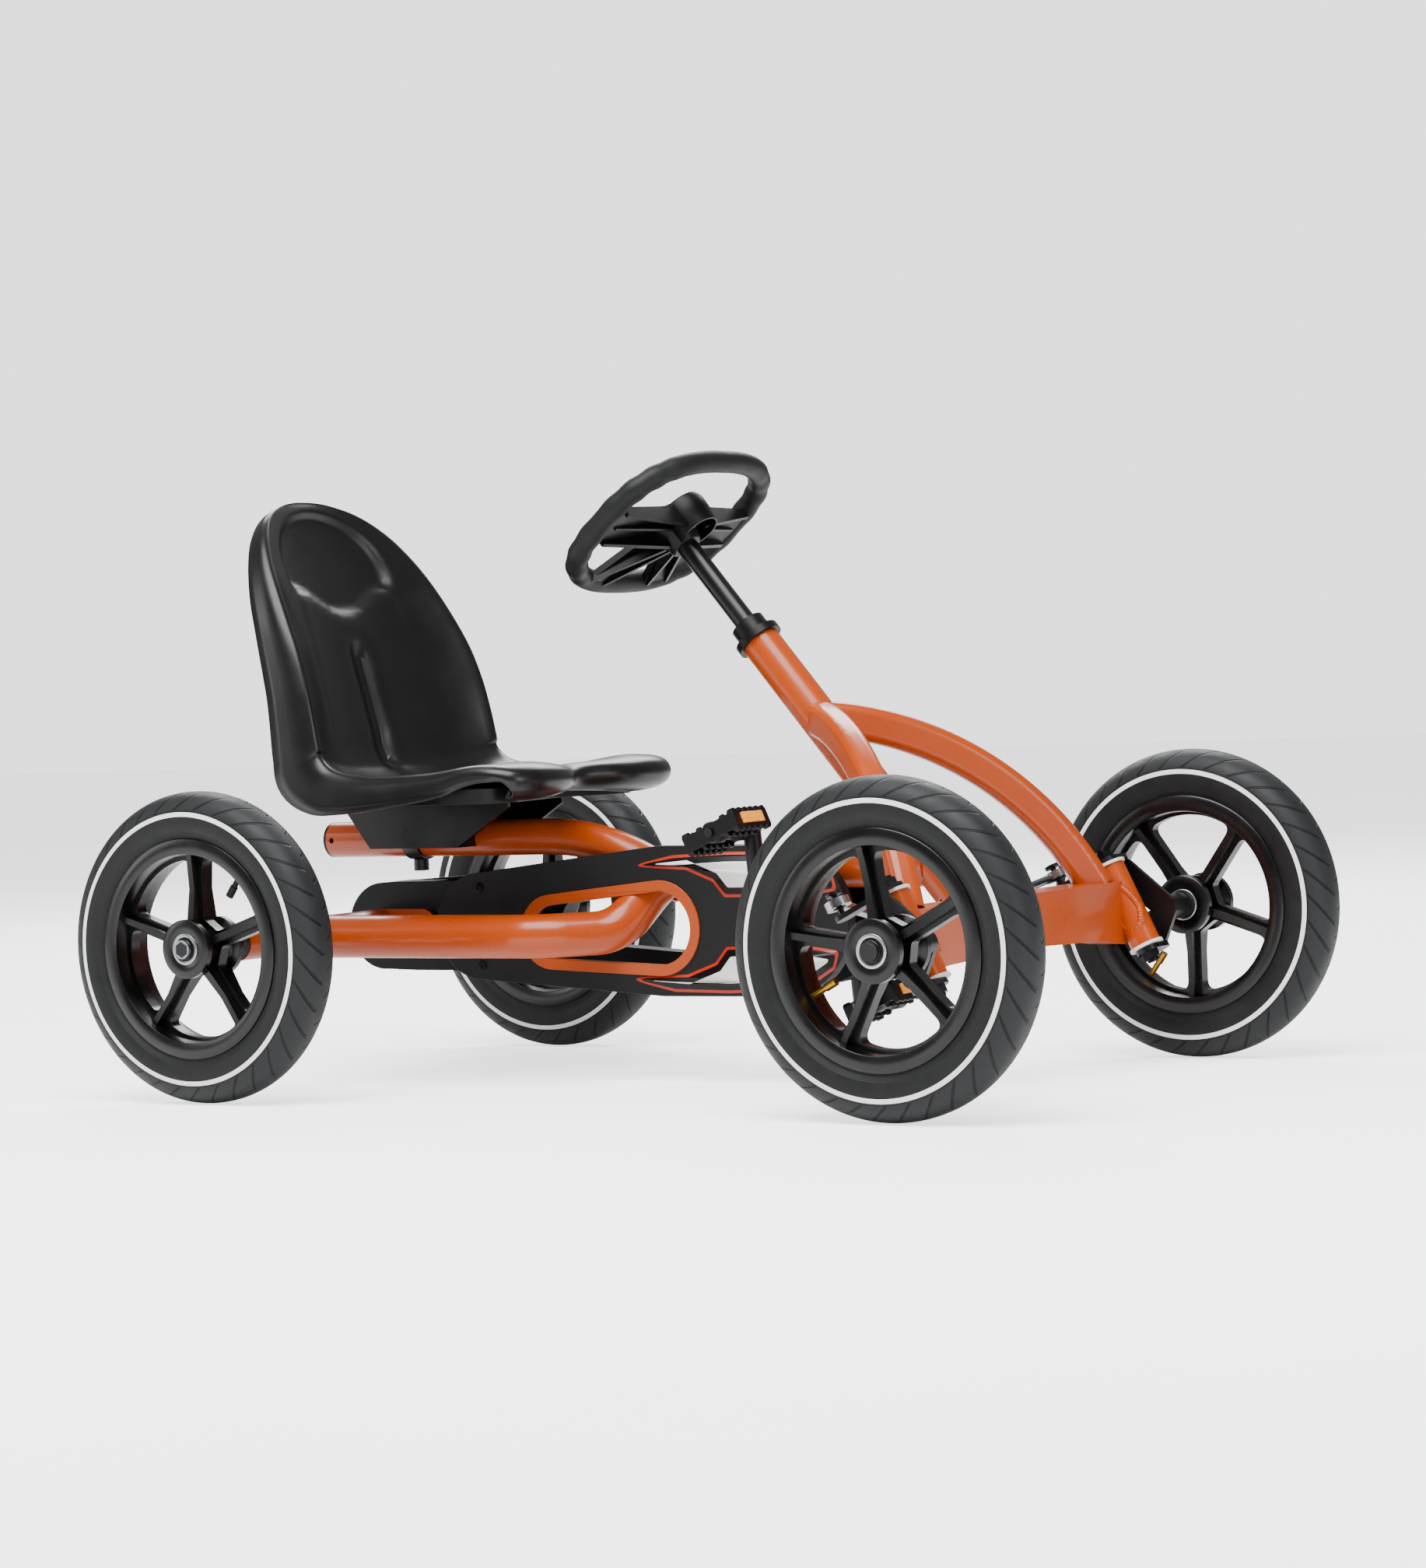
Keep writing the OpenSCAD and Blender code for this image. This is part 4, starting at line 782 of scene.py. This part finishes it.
def seat_pull(x, y):
    """How far the front edge is drawn back: a notch between the legs, and rounded corners."""
    front = 1 - step(-x, 128, 215)
    notch = -30 * math.exp(-(y / 34) ** 2) * front
    corner = -44 * (1 - math.sqrt(max(0, 1 - (max(0, y - 104) / 56) ** 2))) * front
    return notch, corner


def seat_relief(x, y, z, half):
    """Thigh lobes, groove where the slot is, head recess, back panel and the dip to sit in."""
    lobes = 5 * math.exp(-((y - 92) / 46) ** 2) * (1 - step(-x, 150, 330))
    groove = -5 * (1 - step(y, 6, 26)) - 4.5 * (1 - step(y, 8, 13))
    channel = groove * step(z, 322, 345) * (1 - step(z, 448, 478))
    line = 500 + 24 * step(y / max(half, 1), 0.05, 0.48)
    oval = math.hypot(y / 88, (z - 540) / 70)
    head = -7 * step(z, line - 3, line + 4) * (1 - step(oval, 0.88, 1.02))
    panel = 2.2 * step(z, 352, 372) * (1 - step(z, line - 14, line - 6)) * (1 - step(y / half, 0.52, 0.6))
    dip = 3 * step(-x, 160, 240) * (1 - step(-x, 300, 380)) * math.exp(-(y / 60) ** 2)
    return lobes + channel + head + panel - dip


def seat_surface():
    """The seat's upper face as a grid of rows along SEAT_LINE."""
    rows = smooth_table(SEAT_LINE, SEAT_ROWS)
    along = np.gradient(rows[:, :2], axis=0)
    along /= np.linalg.norm(along, axis=1)[:, None]
    normal = np.stack([along[:, 1], -along[:, 0]], axis=1)
    verts = []
    for (x, z, half, rise, skirt), (out_x, out_z) in zip(rows, normal):
        for i in range(SEAT_COLUMNS + 1):
            u = 2 * i / SEAT_COLUMNS - 1
            y, lift = seat_edge(abs(u), half, rise, skirt)
            notch, corner = seat_pull(x, y)
            lift += seat_relief(x, y, z, half)
            side = 1 if u > 0 else -1
            verts.append((x + out_x * lift + notch + corner, side * y, z + out_z * lift))
    return verts, grid_faces(SEAT_COLUMNS + 1, SEAT_ROWS, False, False)


seat = scaled_piece("seat_shell_moulded", [seat_surface()])
wall = seat.modifiers.new("wall", "SOLIDIFY")
wall.thickness, wall.offset, wall.use_quality_normals = SEAT_WALL / 1000, -1, True
apply_modifiers(seat)
slot = hull([(342, 0, 7.5), (444, 0, 7.5)])
cutter = scaled_piece("slot_cutter", [flat_plate([slot], -480, -340, lambda v: Vector((v[2], v[1], v[0])))])
cutter_mod = seat.modifiers.new("slot", "BOOLEAN")
cutter_mod.object, cutter_mod.operation, cutter_mod.solver = cutter, "DIFFERENCE", "EXACT"
apply_modifiers(seat)
bpy.data.objects.remove(cutter)
finish_piece(seat, "seat plastic", body("seat_shell"), ["seat_shell"])
tray_outline = rounded([(-392, 140), (-230, 136), (-170, 128), (-156, 100), (-186, 0), (-156, -100),
                        (-170, -128), (-230, -136), (-392, -140)], [30, 60, 20, 20, 60, 20, 20, 60, 30])
tray = scaled_piece("seat_under_tray", [flat_plate([tray_outline], 292.2, 308, Vector)])
finish_piece(tray, "seat plastic", body("seat_shell"), bevel=0.006)
print("seat", len(seat.data.polygons), "faces")

# %% [markdown]
# ## Steering wheel
# The rim is a bar bent round a soft rectangle, with small bumps where fingers hold it. It could be
# a swept curve, but one ring of points lets the bar's radius change. Ribbed spokes run to a boss.

# %% Steering wheel
COL_UP, COL_FWD = Vector((-0.6428, 0, 0.7660)), Vector((0.7660, 0, 0.6428))
STEER_CENTRE = Vector((-20.7, 0, 571.9))
RIM_LONG, RIM_WIDE, RIM_BAR = 90.0, 119.0, 11.4


def on_wheel(v):
    """(forward in the wheel's plane, left, along the column) to the frame."""
    return STEER_CENTRE + v[0] * COL_FWD + Vector((0, v[1], 0)) + v[2] * COL_UP


def rim_point(t, power=2.6):
    """Point of the rim's middle line."""
    c, s = math.cos(t), math.sin(t)
    return (RIM_LONG * math.copysign(abs(c) ** (2 / power), c),
            RIM_WIDE * math.copysign(abs(s) ** (2 / power), s), 0)


def grip(t):
    """Bar radius: finger bumps on both sides."""
    side = step(abs(math.sin(t)), 0.35, 0.6)
    return RIM_BAR + side * (0.1 + 0.5 * math.cos(t * 22) * step(abs(math.sin(t)), 0.4, 0.7))


turns = [2 * math.pi * i / 240 for i in range(240)]
rim = tube([on_wheel(rim_point(t)) for t in turns], [grip(t) for t in turns], 24, True)
boss = lathe([(0.5, -34), (15, -34), (17, -32), (20, -18), (27, -12), (29, -6), (29, 0), (27.5, 3.5),
              (25, 4), (0.5, 4)], on_wheel, 64)
DOME_FORWARD = 21
dome = lathe([(20, -33), (22.2, -33), (24.2, -16), (24.6, -3), (23, 2.5), (17, 4.6), (0.5, 5), (0.5, 2),
              (16, 1), (20.5, -4)], lambda v: on_wheel((v[0] + DOME_FORWARD, v[1], v[2])), 64)
spoke_outlines = []
for s in (-1, 1):
    wide = [(30, s * 6), (26, s * 44), (24, s * 112), (-24, s * 112), (-16, s * 44), (-8, s * 10)]
    low = [(0, s * 18), (-30, s * 42), (-84, s * 72), (-88, s * 36), (-40, s * 14), (-18, s * 4)]
    spoke_outlines += [rounded(wide, [8, 30, 6, 6, 20, 6]), rounded(low, [8, 20, 6, 6, 16, 6])]
spoke_plates = [flat_plate([o], -9, -2, on_wheel) for o in spoke_outlines]


def wheel_rib(a, b, deep_a, deep_b, thick=3.2, top=-6):
    """An upright rib under a spoke, from a to b in the wheel's plane."""
    d = (Vector(b) - Vector(a)).normalized()
    side = Vector((-d.y, d.x)) * thick / 2
    foot = [(Vector(a) + side, deep_a), (Vector(b) + side, deep_b),
            (Vector(b) - side, deep_b), (Vector(a) - side, deep_a)]
    verts = [on_wheel((q.x, q.y, top)) for q, h in foot] + [on_wheel((q.x, q.y, top - h)) for q, h in foot]
    return verts, grid_faces(4, 2) + [(3, 2, 1, 0), (4, 5, 6, 7)]


ribs = []
for s in (-1, 1):
    ribs += [wheel_rib((26, s * 10), (22, s * 110), 24, 7, 4.5),
             wheel_rib((-8, s * 14), (-21, s * 108), 22, 7, 4.5),
             wheel_rib((10, s * 14), (0, s * 106), 14, 5),
             wheel_rib((-14, s * 16), (-78, s * 68), 20, 5, 4),
             wheel_rib((-16, s * 5), (-84, s * 40), 20, 5, 4)]
obj = scaled_piece("steering_wheel_rim", [rim])
finish_piece(obj, "grip", body("steering_wheel"), ["steering_wheel"])
obj = scaled_piece("steering_wheel_spokes", [boss, dome] + spoke_plates + ribs)
finish_piece(obj, "black plastic", body("steering_wheel"), bevel=0.0009)
cap_profile = [(0.5, 3.6), (21.6, 3.6), (22, 5), (21, 9), (17, 10.6), (0.5, 11)]
obj = scaled_piece("steering_cap", [lathe(cap_profile, on_wheel, 48)])
finish_piece(obj, "black plastic", body("wheel_cap"), ["wheel_cap"])
print("steering wheel rim,", len(spoke_plates), "spoke plates,", len(ribs), "ribs, boss and cap")

# %% [markdown]
# ## Side guard
# A thin moulded panel covers the crank side. Its outline is a belt round three circles, with
# a long window framed in orange. Straight tangents between circles give its even edge.

# %% Guard panel, its orange window frame and screws
GUARD = [(128, 166, 75.8), (-20, 166, 76.8), (-251, 161, 56)]
WINDOW = [(-22, 159, 42), (-158, 155, 32)]


def on_guard(v):
    """(x, z, outward to the right) to the frame."""
    return Vector((v[0], -v[2], v[1]))


panel = flat_plate([hull(GUARD), hull(WINDOW)], 31, 44.7, on_guard)
finish_piece(scaled_piece("guard_panel", [panel]), "guard plastic", body("guard_shield"), ["guard_shield"],
             bevel=0.0042)
frame_ring = flat_plate([hull(WINDOW, 7), hull(WINDOW, -4.5)], 38, 46.8, on_guard)
finish_piece(scaled_piece("guard_window_frame", [frame_ring]), "orange plastic", body("guard_liner"),
             ["guard_liner"], bevel=0.0024)


def screw(place):
    """Pan head with a cross recess drawn as four lands."""
    head = lathe([(0.1, 0), (4.6, 0), (5, 0.6), (4.4, 1.6), (2.6, 2.2), (2.2, 1.0), (0.1, 1.0)], place, 24)
    lands = []
    for k in range(4):
        a = math.pi / 4 + k * math.pi / 2
        x, y = 1.5 * math.cos(a), 1.5 * math.sin(a)
        lands.append(hexagon(0.9, 0.9, 2.1, lambda v, x=x, y=y: place((v[0] + x, v[1] + y, v[2]))))
    return [head] + lands


screws = []
for x, z in ((138, 228), (138, 104), (-250, 202), (-250, 120)):
    screws += screw(lambda v, x=x, z=z: Vector((x + v[0], -44.9 - v[2], z + v[1])))
finish_piece(scaled_piece("guard_screw_heads", screws), "dark steel", body("guard_screws"), ["guard_screws"])
print("guard panel, window frame and screws")

# %% [markdown]
# ## Vinyl points
# The guard's front carries a sticker. This one is plain: two pointed shapes of stacked films, each
# film a little higher than the one below, so that no faces meet.

# %% Vinyl points on the guard
FLAMES = [
    [(-60, 222), (12, 218), (44, 206), (58, 190), (150, 190), (192, 196), (186, 216), (150, 236), (60, 236),
     (-4, 233)],
    [(-70, 108), (10, 112), (44, 124), (58, 140), (150, 142), (192, 136), (186, 118), (150, 97), (60, 93),
     (-6, 94)]]
# how far each film is drawn in, the height of its face, and its colour
FILMS = {"edge": (0, 44.95, "orange vinyl"), "field": (3, 45.15, "black vinyl"),
         "heart": (10, 45.35, "white vinyl")}


def inset(points, amount):
    """Outline moved inwards along its corner bisectors."""
    out, k = [], len(points)
    area = sum(points[i - 1][0] * points[i][1] - points[i][0] * points[i - 1][1] for i in range(k))
    sign = 1 if area > 0 else -1
    for i in range(k):
        p, a, b = Vector(points[i]), Vector(points[i - 1]), Vector(points[(i + 1) % k])
        n1, n2 = ((Vector((-(q.y), q.x)).normalized()) for q in (p - a, b - p))
        m = (n1 + n2).normalized()
        out.append(tuple(p + sign * m * amount / max(0.35, m.dot(n1))))
    return out


for film, (drawn_in, top, finish) in FILMS.items():
    parts = [flat_plate([rounded(inset(f, drawn_in), 5, 5)], 44.2, top, on_guard) for f in FLAMES]
    finish_piece(scaled_piece("guard_points_" + film, parts), finish, body("guard_shield"))
    print("guard points,", film)

# %% [markdown]
# ## Pedals
# Each pedal is a barrel between toothed cage bars, two outer and two inner, with end plates and an
# amber reflector front and back. The cage is drawn flat and then tilted as the pedal hangs.

# %% Pedals
PEDALS = {"left": (136.28, 129, 71.36), "right": (119.72, -129, 260.64)}
TILT = math.radians(24)


def pedal_place(side):
    cx, cy, cz = PEDALS[side]
    c, s = math.cos(TILT), math.sin(TILT)
    return lambda v: Vector((cx + v[0] * c - v[2] * s, cy + v[1], cz + v[0] * s + v[2] * c))


def block(x0, x1, y0, y1, z0, z1, place):
    """A square-edged block between the given limits."""
    verts = [place((x, y, z)) for z in (z0, z1) for x, y in ((x0, y0), (x1, y0), (x1, y1), (x0, y1))]
    return verts, grid_faces(4, 2) + [(3, 2, 1, 0), (4, 5, 6, 7)]


def toothed_bar(x0, x1, half, place, teeth=6):
    """A cage bar whose top and bottom edges are cut into teeth."""
    top = []
    for k in range(teeth):
        y0, y1 = -half + 2 * half * k / teeth, -half + 2 * half * (k + 1) / teeth
        top += [(y0 + 0.5, 8.5), (y0 + (y1 - y0) * 0.3, 11.8), (y0 + (y1 - y0) * 0.7, 11.8), (y1 - 0.5, 8.5)]
    outline = top + [(y, -z) for y, z in top[::-1]]
    return flat_plate([outline], x0, x1, lambda v: place((v[2], v[0], v[1])))


for side in PEDALS:
    place = pedal_place(side)
    name = "pedal_" + side
    barrel = lathe([(5.2, -30), (9.5, -30), (11, -28), (11, -12), (9, -9), (9, 9), (11, 12), (11, 28),
                    (9.5, 30), (5.2, 30)], lambda v: place((v[0], v[2], v[1])), 40)
    cage = [toothed_bar(26, 33, 30.6, place), toothed_bar(-33, -26, 30.6, place),
            toothed_bar(13, 17, 27, place, 5), toothed_bar(-17, -13, 27, place, 5)]
    cage += [block(-32, 32, y - 2.5, y + 2.5, -8, 8, place) for y in (-28, 28)]
    cage += [block(-28, 28, y - 1.5, y + 1.5, -6, 6, place) for y in (-14, 0, 14)]
    finish_piece(scaled_piece(name + "_cage", [barrel] + cage), "black plastic", body(name), [name],
                 bevel=0.0006)
    lens = [block(a, b, -18, 18, -5.6, 5.6, place) for a, b in ((32.6, 35.6), (-35.6, -32.6))]
    finish_piece(scaled_piece(name + "_reflectors", lens), "amber", body("reflectors_" + side),
                 ["reflectors_" + side], bevel=0.0008, smooth=False)
    print(name, "with", len(cage), "cage pieces")

# %% [markdown]
# ## Weld beads
# A hand-laid weld is a row of overlapping drops. A tree puts a drop at each step of a path.

# %% Weld bead tree
def weld_tree():
    t, given, end = start_tree("weld bead", 7, [
        ("Spacing", "NodeSocketFloat", 0.003), ("Drop Radius", "NodeSocketFloat", 0.004)])
    path = add(t, "GeometryNodeMeshToCurve", {"Mesh": given["Geometry"]})
    points = add(t, "GeometryNodeCurveToPoints", {"Curve": path.outputs[0], "Length": given["Spacing"]},
                 mode="LENGTH")
    drop = add(t, "GeometryNodeMeshIcoSphere", {"Radius": given["Drop Radius"], "Subdivisions": 2})
    size = add(t, "FunctionNodeRandomValue", {2: 0.88, 3: 1.08, "Seed": given["Seed"]}, data_type="FLOAT")
    drops = add(t, "GeometryNodeInstanceOnPoints", {"Points": points.outputs[0], "Instance": drop.outputs[0],
                                                    "Scale": size.outputs[1]})
    real = add(t, "GeometryNodeRealizeInstances", {"Geometry": drops.outputs[0]})
    smooth = add(t, "GeometryNodeSetShadeSmooth", {"Geometry": real.outputs[0]})
    paint_and_end(t, smooth.outputs[0], given["Material"], end)
    return t


WELD = weld_tree()


def weld(name, paths, radius, rides, spacing=None):
    """A piece of weld drops along closed paths of points in mm."""
    verts, edges = [], []
    for path in paths:
        base, k = len(verts), len(path)
        verts += [Vector(p) / 1000 for p in path]
        edges += [(base + i, base + (i + 1) % k) for i in range(k)]
    me = bpy.data.meshes.new(name)
    me.from_pydata([tuple(v) for v in verts], edges, [])
    obj = bpy.data.objects.new(name, me)
    bpy.context.collection.objects.link(obj)
    run_tree(obj, WELD, {"Spacing": (spacing or radius * 0.7) / 1000, "Drop Radius": radius / 1000,
                         "Material": MAT["orange paint"]})
    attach(obj, rides)
    print(name, len(obj.data.polygons), "faces")


def circle_path(centre, axis, r, n=48):
    """Points of a circle round an axis."""
    a = Vector(axis).normalized()
    u = a.orthogonal().normalized()
    v = a.cross(u)
    turns = [2 * math.pi * k / n for k in range(n)]
    return [Vector(centre) + r * (math.cos(a) * u + math.sin(a) * v) for a in turns]


print("tree", WELD.name)

# %% Weld beads at the kingpin tubes and the crank shell
KING_UP = Vector((-0.443, 0, 0.8965))
KING_CENTRE_X, KING_CENTRE_Y, KING_CENTRE_Z = 378, 212, 162.5
BEAD_TALL, BEAD_WIDE, BEAD_INSIDE = 26, 16.2, 6.0
paths = []
for s in (-1, 1):
    centre = Vector((KING_CENTRE_X, s * KING_CENTRE_Y, KING_CENTRE_Z))
    ring_points = []
    for k in range(40):
        a = 2 * math.pi * k / 40
        inward = -s * BEAD_INSIDE * (1 + abs(math.cos(a)))
        ring_points.append(centre + KING_UP * (BEAD_TALL * math.cos(a))
                           + Vector((BEAD_WIDE * math.sin(a), inward, 0)))
    paths.append(ring_points)
weld("weld_kingpins", paths, 4.2, body("front_beam"))
shell_ends = [circle_path((128, y, 166), (0, 1, 0), 20.0) for y in (-29, 21)]
weld("weld_crank_shell", shell_ends, 1.4, body("crank_shell"), 1.6)

# %% [markdown]
# ## Floor
# A plain pale floor that the camera sees nearly as bright as the sky. It lights the kart's
# underside only a little, and it isn't part of the model.

# %% Floor, sizes and finish
FLOOR_LIGHT, FLOOR_SEEN = 0.15, 1.7
ground = new_piece("floor", [(-14, -14, 0), (14, -14, 0), (14, 14, 0), (-14, 14, 0)], [(0, 1, 2, 3)])
paper = surface("pale studio floor", "#ffffff", "#fcfcfc", (0.8, 0.9), 40, 0.00002, shine=0.0)
glow = next(n for n in paper.node_tree.nodes if n.type == "BSDF_PRINCIPLED")
glow.inputs["Emission Color"].default_value = (1, 1, 1, 1)
seen_directly = add(paper.node_tree, "ShaderNodeLightPath").outputs["Is Camera Ray"]
paper.node_tree.links.new(spread(paper.node_tree, seen_directly, FLOOR_LIGHT, FLOOR_SEEN),
                           glow.inputs["Emission Strength"])
ground.data.materials.append(paper)
print("floor", ground.name)
